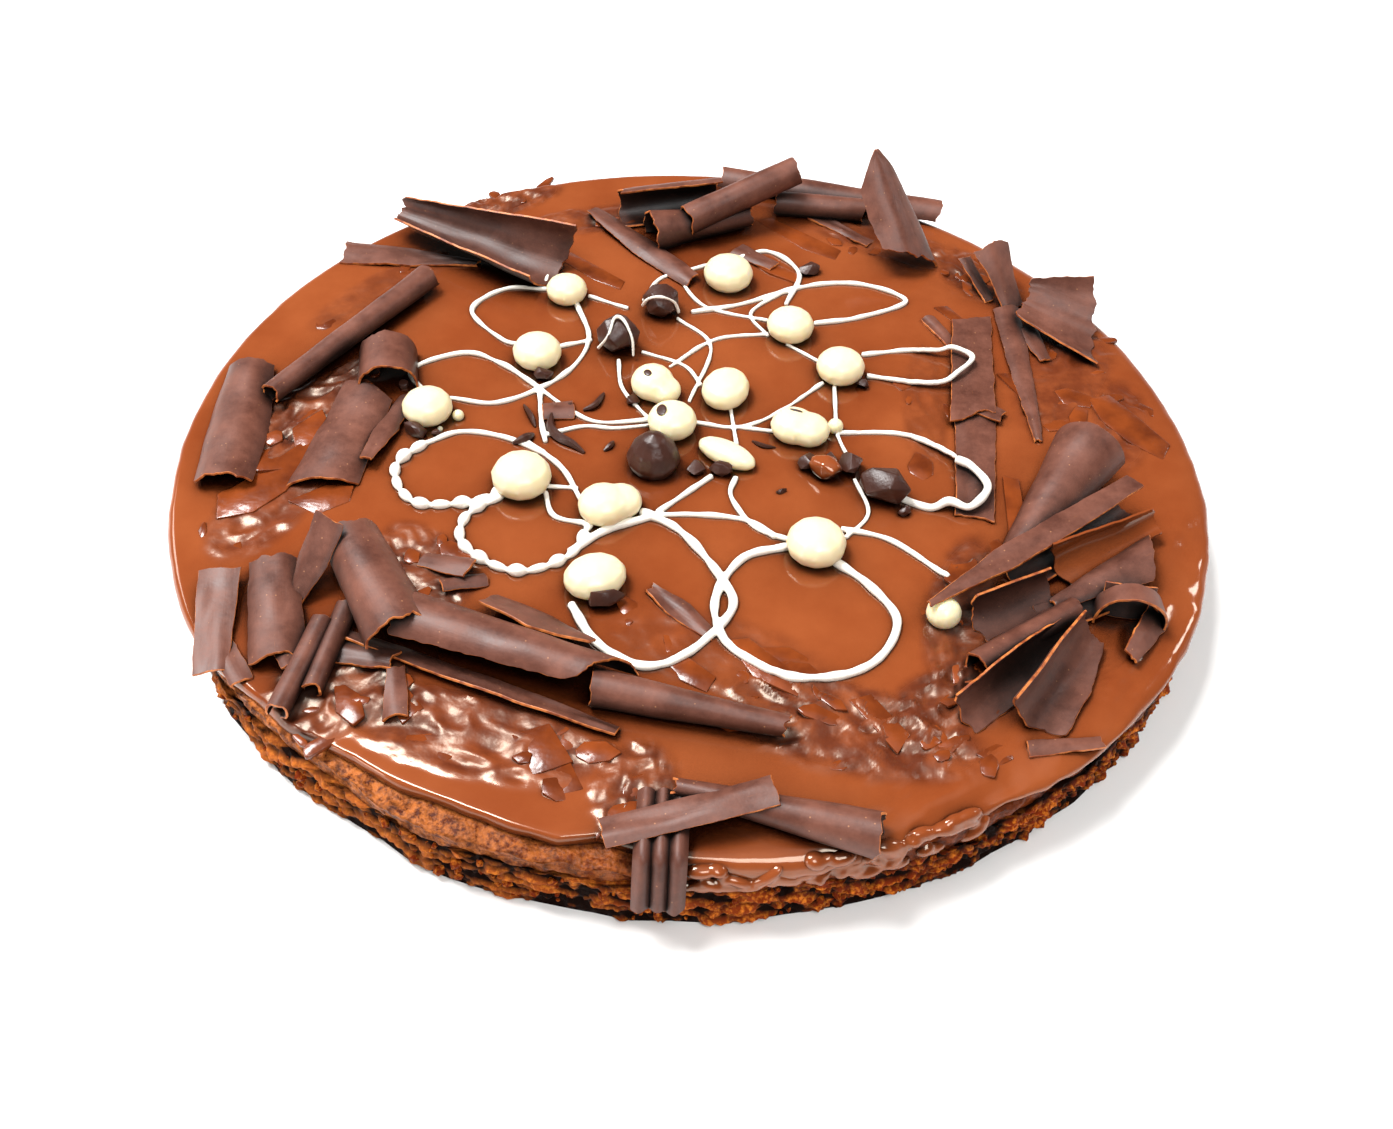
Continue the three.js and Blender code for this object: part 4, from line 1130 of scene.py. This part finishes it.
# Curls
# Shavings of dark chocolate, drawn off a block with a wide blade, under 1 mm thick. They rolled up as
# they came off, so their faces are satin with fine blade lines, and their torn edges are paler, with a
# painted highlight on them as well. Each has its middle, the way its roll runs, its length, and its width
# and roll radius at even steps.
SHAVING = 0.66 * MM
SHAVING_CELL = 0.9
FEWEST_ACROSS = 6
FEWEST_ALONG = 8
TORN_END = 0.85
TORN_SIDE = 0.45
TORN_STEP = 2.4
TORN_FINE_STEP = 0.9
TORN_FINE_SHARE = 0.3
TORN_LENGTH = 20
UNEVEN_ROLL = 0.06
UNEVEN_MOST = 0.6
UNEVEN_LENGTH = 12
UNEVEN_ACROSS = 2.4
EDGE_WEAR = 0.1 * MM
EDGE_CORNER = math.radians(60)
SUNK = 0.25
CURLS = {
    "left_half_tube": dict(
        at=(-117.5, -2.5), heading=-84, length=45,
        width=(13, 18, 16), radius=(8, 9), torn=0.6,
    ),
    "left_sheet": dict(
        at=(-89.5, -4.5), heading=-97, length=36,
        width=(15, 18), radius=(13, 13), slant=(5, -4), torn=0.4,
    ),
    "left_arch": dict(at=(-84, 22), heading=-79, length=15, width=(24, 25), radius=(7.3, 7.8)),
    "left_long_roll": dict(
        at=(-95.5, 34), heading=60, length=63,
        width=(13, 17), radius=(2.6, 3.4), turn=60,
    ),
    "front_left_arch": dict(
        at=(-71, -58), heading=-59, length=34,
        width=(17, 22), radius=(6.5, 8), lift=5,
    ),
    "front_long_sheet": dict(
        at=(-37.5, -74), heading=-16, length=48,
        width=(22, 16), radius=(7.5, 6), turn=62, slant=(0, 13),
    ),
    "front_roll": dict(at=(1.5, -85.5), heading=-10, length=42, width=(20, 9), radius=(4, 2.2)),
    "cracked_sheet": dict(at=(-92.5, -64), heading=-74, length=30, width=(11, 14), radius=(9, 9), lift=1),
    "edge_shard": dict(
        at=(-105, -68), heading=-80, length=28,
        width=(9.5, 7.5), radius=(22, 22), rise=-6, torn=0.4,
    ),
    "front_left_roll": dict(
        at=(-83, -80), heading=-99, length=25,
        width=(12, 11), radius=(2.4, 2.2), turn=60,
    ),
    "back_left_scroll": dict(
        at=(-67.5, 76.5), heading=-22, length=52,
        width=(10, 34), radius=(4, 10), turn=-66, slant=(0, -6),
    ),
    "back_left_sheet": dict(at=(-71, 90), heading=-17, length=34, width=(6, 6), radius=(5, 5), lift=1),
    "back_left_shard": dict(at=(-87.5, 74.2), heading=-3, length=40, width=(11, 8, 2), radius=(40, 40)),
    "back_rising_roll": dict(
        at=(9, 102), heading=31, length=38,
        width=(22, 20), radius=(4.2, 4), rise=11, lift=3,
    ),
    "back_roll": dict(at=(-3, 95.5), heading=22, length=31, width=(26, 20, 14), radius=(6, 4, 3)),
    "back_loop": dict(at=(-12.5, 104), heading=18, length=31, width=(20, 22), radius=(5.5, 5.5), turn=-15),
    "back_standing_leaf": dict(
        at=(54.5, 90.5), heading=-55, length=32,
        width=(2, 17, 20, 19), radius=(6, 12), rise=-52, slant=(0, 9),
    ),
    "back_short_roll": dict(at=(33.5, 110), heading=-3, length=27, width=(16, 16), radius=(3.4, 3.4)),
    "back_edge_strip": dict(
        at=(37, 118.5), heading=-11, length=70,
        width=(12, 13), radius=(4.5, 5), lift=1,
    ),
    "back_strip": dict(
        at=(-20.5, 86.5), heading=-42, length=46,
        width=(5, 9, 6), radius=(7, 7), twist=30,
    ),
    "right_fan": dict(
        at=(102, 57), heading=-26, length=21,
        width=(13, 29), radius=(12, 16), turn=-62, slant=(0, 10),
    ),
    "right_tall_shard": dict(
        at=(85.3, 73), heading=-58, length=19,
        width=(13, 8, 7), radius=(14, 14), rise=-42,
    ),
    "right_strip": dict(at=(88, 37.5), heading=-88, length=57, width=(8, 7, 5, 2), radius=(6, 5)),
    "right_upper_sheet": dict(
        at=(74.3, 37.5), heading=-95.5, length=45,
        width=(11, 12), radius=(70, 70), rise=2, slant=(-4, -6),
    ),
    "right_lower_sheet": dict(at=(71.3, -1), heading=-96, length=40, width=(11, 9.5), radius=(70, 70)),
    "right_blade": dict(
        at=(81, -34.6), heading=37.5, length=67,
        width=(1.5, 6.5, 6.5, 5), radius=(30, 30), rise=3, lift=6, torn=0.5,
    ),
    "right_cone": dict(
        at=(88.3, -16), heading=-123, length=44,
        width=(27, 8), radius=(9.2, 3.2), rise=-6, torn=0.25,
    ),
    "right_trough": dict(at=(92, -29), heading=40, length=40, width=(10, 9), radius=(6, 5), turn=-80),
    "right_ridge": dict(
        at=(98.8, -40.5), heading=31, length=29,
        width=(3, 13), radius=(4, 8), turn=95, lift=1.5, slant=(0, 8),
    ),
    "right_open_roll": dict(
        at=(75.3, -51.3), heading=32, length=21,
        width=(14, 12), radius=(6, 5), turn=-45,
    ),
    "right_short_roll": dict(at=(101.7, -50.7), heading=-95, length=5.5, width=(26, 28), radius=(7.5, 8)),
    "right_shell": dict(
        at=(83.5, -73), heading=57, length=31,
        width=(20, 18, 10), radius=(8.5, 8, 7), turn=-45, slant=(6, 0),
    ),
    "right_long_sheet": dict(
        at=(75.5, -69.5), heading=44, length=40,
        width=(11, 12, 7), radius=(6.5, 6), turn=-50,
    ),
    "front_edge_strip": dict(
        at=(2.5, -112.5), heading=15.5, length=36,
        width=(7, 7), radius=(12, 12), rise=7, lift=2.5, torn=0.5,
    ),
    "front_edge_roll": dict(at=(20, -110.2), heading=-12, length=42, width=(5, 22), radius=(1.5, 4.6)),
}


def spread(values, share):
    """The value at a share of the way along values that stand at even steps."""
    return np.interp(share, np.linspace(0, 1, len(values)), values)


def torn_line(draw, length, size):
    """A jagged edge: how far it stands out along a length, as a function of the share of it."""
    coarse = [draw.uniform(-size, size) for _ in range(max(2, round(length / TORN_STEP)) + 1)]
    fine = [draw.uniform(-size, size) for _ in range(max(2, round(length / TORN_FINE_STEP)) + 1)]
    return lambda share: spread(coarse, share) + TORN_FINE_SHARE * spread(fine, share)


def thicken(piece, face_material, edge_material):
    """Gives a rolled sheet its thickness, its material and that of its broken edge."""
    piece.data.materials.append(face_material)
    piece.data.materials.append(edge_material)
    wall = piece.modifiers.new("wall", "SOLIDIFY")
    wall.thickness = SHAVING
    wall.offset = 0
    wall.material_offset_rim = 1
    worn = piece.modifiers.new("worn edge", "BEVEL")
    worn.width = EDGE_WEAR
    worn.segments = 1
    worn.limit_method = "ANGLE"
    worn.angle_limit = EDGE_CORNER
    apply_modifiers(piece)
    bpy.ops.object.shade_smooth_by_angle(angle=BROKEN_CORNER)


def shave(name, seed, at, heading, length, width, radius, turn=90, twist=0, rise=0, lift=0,
          slant=(0, 0), torn=1.0):
    """A shaving with torn ends, rolled about its length and laid on the glaze. Sizes are in mm."""
    draw = random.Random(seed)
    across = max(FEWEST_ACROSS, round(max(width) / SHAVING_CELL))
    along = max(FEWEST_ALONG, round(length / SHAVING_CELL))
    bpy.ops.object.select_all(action="DESELECT")
    bpy.ops.mesh.primitive_grid_add(x_subdivisions=along, y_subdivisions=across, size=1)
    piece = bpy.context.object
    piece.name = name
    flat = points_of(piece)
    share = flat[:, 0] + 0.5
    side = flat[:, 1] + 0.5
    tear = torn * min(1.0, length / TORN_LENGTH)
    start = torn_line(draw, max(width), TORN_END * tear)(side)
    end = torn_line(draw, max(width), TORN_END * tear)(side)
    right = torn_line(draw, length, TORN_SIDE * torn)(share)
    left = torn_line(draw, length, TORN_SIDE * torn)(share)
    wide = spread(width, share) + np.where(flat[:, 1] > 0, left, right)
    roll = spread(radius, share)
    ahead = spread(slant, share) * flat[:, 1]
    spots = [Vector((x * length / UNEVEN_LENGTH, y * UNEVEN_ACROSS, seed)) for x, y in flat[:, :2]]
    wobble = np.array([noise.noise(spot) for spot in spots])
    roll_here = roll + wobble * np.minimum(UNEVEN_ROLL * roll, UNEVEN_MOST)
    angle = np.radians(turn + twist * flat[:, 0]) - flat[:, 1] * wide / roll
    rolled = np.column_stack((
        flat[:, 0] * length + ahead + start + (end - start) * share,
        roll_here * np.cos(angle),
        roll_here * np.sin(angle),
    ))
    rolled -= (rolled.min(axis=0) + rolled.max(axis=0)) / 2
    turned = Matrix.Rotation(math.radians(heading), 3, "Z") @ Matrix.Rotation(-math.radians(rise), 3, "Y")
    laid = rolled @ np.array(turned).T
    floor = POURED_TOP / MM + SHAVING / MM / 2 + lift - SUNK
    laid += np.array((at[0], at[1], floor - laid[:, 2].min()))
    move_points(piece, laid * MM)
    sheet = np.column_stack((flat[:, 0] * length, flat[:, 1] * wide)) * MM
    corners = np.empty(len(piece.data.loops), int)
    piece.data.loops.foreach_get("vertex_index", corners)
    piece.data.uv_layers.active.data.foreach_set("uv", sheet[corners].ravel())
    return piece


# Shaved dark chocolate: a satin brown face with fine blade lines along the roll, a mottled grain, warm
# scratches and pale specks of cocoa butter, with painted shade, nearly black, in the hollows.
SHAVED_DARK = "#4e2a1f"
SHAVED_BROWN = "#784838"
SHAVED_PAINTED_SHADE = "#0c0402"
SCRATCH = "#a9602f"
SPECK = "#b98159"
CURL_SHADE_WITHIN = 12 * MM
BLADE_LINE = 0.45 * MM
BLADE_LINE_LENGTH = 9 * MM
shaved_material, tree, shader = new_material("shaved dark chocolate")
place = add_node(tree, "TexCoord")
bloom = add_node(tree, "TexNoise", {"Scale": 1 / (10 * MM), "Detail": 6.0, "Roughness": 0.72},
                 {"Vector": place.outputs["Object"]})
mottled = add_node(tree, "MapRange", {"From Min": 0.32, "From Max": 0.68}, {"Value": bloom.outputs["Fac"]})
tone = add_node(tree, "Mix", {6: colour(SHAVED_DARK), 7: colour(SHAVED_BROWN)},
                {0: mottled.outputs["Result"]}, data_type="RGBA")
drawn = add_node(tree, "Mapping", {"Scale": (1 / BLADE_LINE_LENGTH, 1 / BLADE_LINE, 1)},
                 {"Vector": place.outputs["UV"]})
lines = add_node(tree, "TexNoise", {"Scale": 1.0, "Detail": 3.0}, {"Vector": drawn.outputs["Vector"]})
scratched = add_node(tree, "MapRange", {"From Min": 0.7, "From Max": 0.78, "To Min": 0.0, "To Max": 0.6},
                     {"Value": lines.outputs["Fac"]})
marked = add_node(tree, "Mix", {7: colour(SCRATCH)}, {0: scratched.outputs["Result"], 6: tone.outputs[2]},
                  data_type="RGBA")
specks = add_node(tree, "TexVoronoi", {"Scale": 1 / (2.4 * MM)}, {"Vector": place.outputs["Object"]})
dot = add_node(tree, "MapRange", {"From Min": 0.09, "From Max": 0.05, "To Min": 0.0, "To Max": 0.6},
               {"Value": specks.outputs["Distance"]})
flecked = add_node(tree, "Mix", {7: colour(SPECK)}, {0: dot.outputs["Result"], 6: marked.outputs[2]},
                   data_type="RGBA")
rough = add_node(tree, "MapRange", {"From Min": 0.3, "From Max": 0.7, "To Min": 0.38, "To Max": 0.54},
                 {"Value": bloom.outputs["Fac"]})
grain = add_node(tree, "TexNoise", {"Scale": 1 / (0.9 * MM), "Detail": 3.0},
                 {"Vector": place.outputs["Object"]})
grainy = add_node(tree, "Bump", {"Strength": 0.3, "Distance": 0.1 * MM}, {"Height": grain.outputs["Fac"]})
bump = add_node(tree, "Bump", {"Strength": 0.3, "Distance": 0.07 * MM},
                {"Height": lines.outputs["Fac"], "Normal": grainy.outputs["Normal"]})
# Painted shade: ambient occlusion darkens the shavings towards black in their hollows and under each other.
open_sky = add_node(tree, "AmbientOcclusion", {"Distance": CURL_SHADE_WITHIN}, samples=4)
hollow_shade = add_node(tree, "MapRange", {"From Min": 0.58, "From Max": 0.92}, {"Value": open_sky.outputs["AO"]})
shaded = add_node(tree, "Mix", {6: colour(SHAVED_PAINTED_SHADE)},
                  {0: hollow_shade.outputs["Result"], 7: flecked.outputs[2]}, data_type="RGBA")
tree.links.new(shaded.outputs[2], shader.inputs["Base Color"])
tree.links.new(rough.outputs["Result"], shader.inputs["Roughness"])
tree.links.new(bump.outputs["Normal"], shader.inputs["Normal"])
shader.inputs["Specular IOR Level"].default_value = 0.4

# Broken chocolate: the grain of the bar laid open, so rough, dull and a warm orange brown, painted brighter
# than its own colour as a highlight for the light that the thin edges catch.
EDGE_BROWN = "#863c15"
EDGE_ORANGE_HIGHLIGHT = "#cc7434"
broken_material, tree, shader = new_material("broken chocolate edge")
place = add_node(tree, "TexCoord")
grit = add_node(tree, "TexNoise", {"Scale": 1 / (2.2 * MM), "Detail": 4.0},
                {"Vector": place.outputs["Object"]})
gritty = add_node(tree, "MapRange", {"From Min": 0.38, "From Max": 0.6}, {"Value": grit.outputs["Fac"]})
tone = add_node(tree, "Mix", {6: colour(EDGE_BROWN), 7: colour(EDGE_ORANGE_HIGHLIGHT)}, {0: gritty.outputs["Result"]},
                data_type="RGBA")
tree.links.new(tone.outputs[2], shader.inputs["Base Color"])
shader.inputs["Roughness"].default_value = 0.5

for seed, (name, curl) in enumerate(CURLS.items(), start=301):
    piece = shave(f"shaved_{name}", seed, **curl)
    thicken(piece, shaved_material, broken_material)
    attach(piece, "root")
    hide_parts(f"curl_{name}")

# Loose shavings
# Narrower strips and flakes of the same shavings that broke off and lie between, under and against the
# large ones. Two at the right are put in to fill gaps with shade: one between the ridge and the hoop and
# one as a plate inside the hoop. One trough between the curls on the right is coated with glaze.
LOOSE_SHAVINGS = [
    dict(at=(-77, 87), heading=-27, length=30, width=(4, 3), radius=(6, 6), lift=1.5),
    dict(at=(-79.5, -1), heading=-100, length=28, width=(4, 6, 3), radius=(8, 8), rise=6),
    dict(at=(-86, -53), heading=-113, length=21, width=(8, 8, 3), radius=(9, 9), rise=-38),
    dict(at=(-78, -74), heading=-96, length=24, width=(9, 9), radius=(2.2, 2.0), turn=60),
    dict(
        at=(-33, -65), heading=-24, length=27,
        width=(8, 12, 3), radius=(30, 30), turn=55, lift=0.5, torn=0.4,
    ),
    dict(at=(-37, 10.2), heading=12, length=8, width=(6, 7), radius=(6, 6)),
    dict(at=(40, 102), heading=-39, length=22, width=(5, 4), radius=(14, 14)),
    dict(at=(93.5, 50), heading=-76, length=15, width=(6, 4), radius=(9, 9)),
    dict(at=(-45.5, -80), heading=-19.5, length=68, width=(3, 5, 5, 3), radius=(30, 30), turn=70, torn=0.3),
    dict(at=(104, -57), heading=-125, length=16, width=(7, 4), radius=(9, 9), turn=60),
    dict(at=(82, -88), heading=10, length=16, width=(4, 3), radius=(12, 12)),
    dict(at=(-1.5, -56.5), heading=-42, length=20, width=(3, 6, 3), radius=(30, 30)),
    dict(at=(77, -60), heading=36.5, length=31, width=(13, 11), radius=(3.2, 2.8), turn=70),
    # Put in for shade: this sheet fills the dark gap between the ridge and the hoop, and the next stands
    # inside the hoop to darken it.
    dict(at=(93.5, -47.5), heading=27, length=26, width=(9, 8), radius=(10, 10), turn=-90),
    dict(at=(101.5, -48.5), heading=-95, length=8, width=(12, 12), radius=(16, 16), rise=-62, torn=0.4),
    dict(at=(-57, -47), heading=-20, length=13, width=(5, 6), radius=(7, 7), rise=12),
    dict(at=(-52, -52), heading=20, length=11, width=(4, 4), radius=(9, 9), rise=-8),
    dict(at=(-71, -75), heading=-12, length=16, width=(7, 5), radius=(9, 9), rise=5),
    dict(at=(-62, -85), heading=-70, length=13, width=(4, 6), radius=(5, 5), twist=30),
    dict(at=(-88, -74), heading=-60, length=15, width=(6, 5), radius=(8, 8), rise=10),
    dict(at=(76.5, 19), heading=-30, length=9, width=(6, 5), radius=(20, 20), lift=1),
    dict(at=(66.5, 54), heading=-60, length=13, width=(4, 4), radius=(12, 12)),
    dict(at=(14, 84), heading=-35, length=14, width=(6, 5), radius=(12, 12)),
    dict(at=(79, 76), heading=-62, length=16, width=(4, 3), radius=(8, 8), rise=-20),
    dict(at=(57, 101), heading=-60, length=22, width=(3, 4, 2), radius=(8, 8), rise=-30),
    dict(at=(-99, -78), heading=-55, length=13, width=(5, 5), radius=(9, 9)),
]
COATED_TROUGH = dict(
    at=(100, -31), heading=34, length=30,
    width=(14, 7), radius=(7, 4.5), turn=-50, lift=0.8,
)
loose_pieces = []
for seed, strip in enumerate(LOOSE_SHAVINGS, start=401):
    piece = shave("loose_shaving", seed, **strip)
    thicken(piece, shaved_material, broken_material)
    loose_pieces.append(piece)
loose = join("loose_shavings", loose_pieces)
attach(loose, "root")
coated = shave("coated_trough", 451, **COATED_TROUGH)
thicken(coated, glaze_material, glaze_material)
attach(coated, "root")

# Hanging shaving
# One shaving wrinkled into three flutes. It lies on the glaze at the front, bends over its edge and
# hangs down the side of the cake with a torn foot.
HANGING_MIDDLE = -2.7
HANGING_WIDTH = 10.5
HANGING_FLUTES = 3
HANGING_DEPTH = 1.6
HANGING_PATH = [(-106, 21.4), (-119.6, 21.8), (-122.6, 19.2), (-126.2, 10.6)]
HANGING_STEP = 0.8
HANGING_BEND = 0.06
HANGING_CELLS = (48, 36)
bpy.ops.object.select_all(action="DESELECT")
bpy.ops.mesh.primitive_grid_add(x_subdivisions=HANGING_CELLS[0], y_subdivisions=HANGING_CELLS[1], size=1)
hanging = bpy.context.object
hanging.name = "shaved_front_hanging"
flat = points_of(hanging)
path = smooth_path([(0, y, z) for y, z in HANGING_PATH], HANGING_STEP)
path_y = [spot.y for spot in path]
path_z = [spot.z for spot in path]
across = flat[:, 0] + 0.5
down = 0.5 - flat[:, 1]
way_y = spread(path_y, down + HANGING_BEND) - spread(path_y, down - HANGING_BEND)
way_z = spread(path_z, down + HANGING_BEND) - spread(path_z, down - HANGING_BEND)
way = np.hypot(way_y, way_z)
torn_foot = torn_line(random.Random(77), HANGING_WIDTH, TORN_END)(across) * down
wave = HANGING_DEPTH * np.abs(np.sin(across * HANGING_FLUTES * math.pi))
hung = np.column_stack((
    HANGING_MIDDLE + HANGING_WIDTH * flat[:, 0],
    spread(path_y, down) + wave * way_z / way + torn_foot * way_y / way,
    spread(path_z, down) - wave * way_y / way + torn_foot * way_z / way,
))
move_points(hanging, hung * MM)
thicken(hanging, shaved_material, broken_material)
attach(hanging, "root")
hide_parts("curl_front_hanging")

# Studio
# A plain pale floor, a surround that is bright above and pale at the horizon, and five soft lights, the
# strongest overhead. The surround is dim between top and horizon, so the glaze mirrors little of it.
FLOOR_SIZE = 6.0
FLOOR_WHITE = "#f7f6f4"
bpy.ops.object.select_all(action="DESELECT")
bpy.ops.mesh.primitive_plane_add(size=FLOOR_SIZE, location=(0, 0, 0))
floor = bpy.context.object
floor.name = "floor"

# Matt paper: an even off-white with no shine.
floor_material, tree, shader = new_material("pale matt paper")
shader.inputs["Base Color"].default_value = colour(FLOOR_WHITE)
shader.inputs["Roughness"].default_value = 0.9
floor.data.materials.append(floor_material)

ZENITH_STRENGTH = 0.75
DIM_STRENGTH = 0.05
HORIZON_STRENGTH = 0.45
SURROUND_WHITE = "#ffffff"
world = bpy.data.worlds.new("soft surround")
bpy.context.scene.world = world
world.use_nodes = True
tree = world.node_tree
background = tree.nodes["Background"]
background.inputs["Color"].default_value = colour(SURROUND_WHITE)
view = add_node(tree, "TexCoord")
ways = add_node(tree, "SeparateXYZ", {}, {"Vector": view.outputs["Generated"]})
high = add_node(
    tree, "MapRange",
    {"From Min": 0.82, "From Max": 1.0, "To Min": DIM_STRENGTH, "To Max": ZENITH_STRENGTH},
    {"Value": ways.outputs["Z"]},
)
low = add_node(
    tree, "MapRange",
    {"From Min": 0.15, "From Max": 0.3, "To Min": HORIZON_STRENGTH, "To Max": 0.0},
    {"Value": ways.outputs["Z"]},
)
both = add_node(tree, "Math", {}, {0: high.outputs["Result"], 1: low.outputs["Result"]}, operation="ADD")
tree.links.new(both.outputs["Value"], background.inputs["Strength"])

SOFT_LIGHTS = [
    {"name": "overhead key", "at": (-0.68, 0.3, 1.5), "size": 0.6, "watts": 44},
    {"name": "front fill", "at": (0.25, -0.6, 1.05), "size": 0.5, "watts": 8.5},
    {"name": "left fill", "at": (-0.85, 0.45, 0.55), "size": 0.25, "watts": 1.5},
    {"name": "right fill", "at": (0.85, 0.42, 0.6), "size": 0.2, "watts": 1.5},
    {"name": "low fill", "at": (-0.75, -0.5, 0.16), "size": 0.2, "watts": 1.2},
]
for light in SOFT_LIGHTS:
    lamp = bpy.data.lights.new(light["name"], "AREA")
    lamp.size = light["size"]
    lamp.energy = light["watts"]
    stand = bpy.data.objects.new(light["name"], lamp)
    stand.location = light["at"]
    stand.rotation_euler = (-Vector(light["at"])).to_track_quat("-Z", "Y").to_euler()
    bpy.context.scene.collection.objects.link(stand)

# Camera
# It looks down at the cake's front from the photograph's height, a little rolled.
CAMERA_DISTANCE = 362.8 * MM
CAMERA_ELEVATION = math.radians(44.77)
CAMERA_PITCH = math.radians(47.45)
CAMERA_ROLL = math.radians(3.30)
CAMERA_LENS = 34.89
CAMERA_SHIFT = 0.0040
lens = bpy.data.cameras.new("camera")
lens.lens = CAMERA_LENS
lens.sensor_width = 36
lens.shift_x = CAMERA_SHIFT
lens.clip_start = 0.01
camera = bpy.data.objects.new("camera", lens)
bpy.context.scene.collection.objects.link(camera)
ahead = Vector((0, math.cos(CAMERA_PITCH), -math.sin(CAMERA_PITCH)))
upward = Vector((0, math.sin(CAMERA_PITCH), math.cos(CAMERA_PITCH)))
sideways = Vector((1, 0, 0))
right = sideways * math.cos(CAMERA_ROLL) + upward * math.sin(CAMERA_ROLL)
above = upward * math.cos(CAMERA_ROLL) - sideways * math.sin(CAMERA_ROLL)
camera.matrix_world = Matrix((right, above, -ahead)).transposed().to_4x4()
camera.location = CAMERA_DISTANCE * Vector((0, -math.cos(CAMERA_ELEVATION), math.sin(CAMERA_ELEVATION)))
bpy.context.scene.camera = camera
bpy.context.scene.view_settings.view_transform = "Standard"
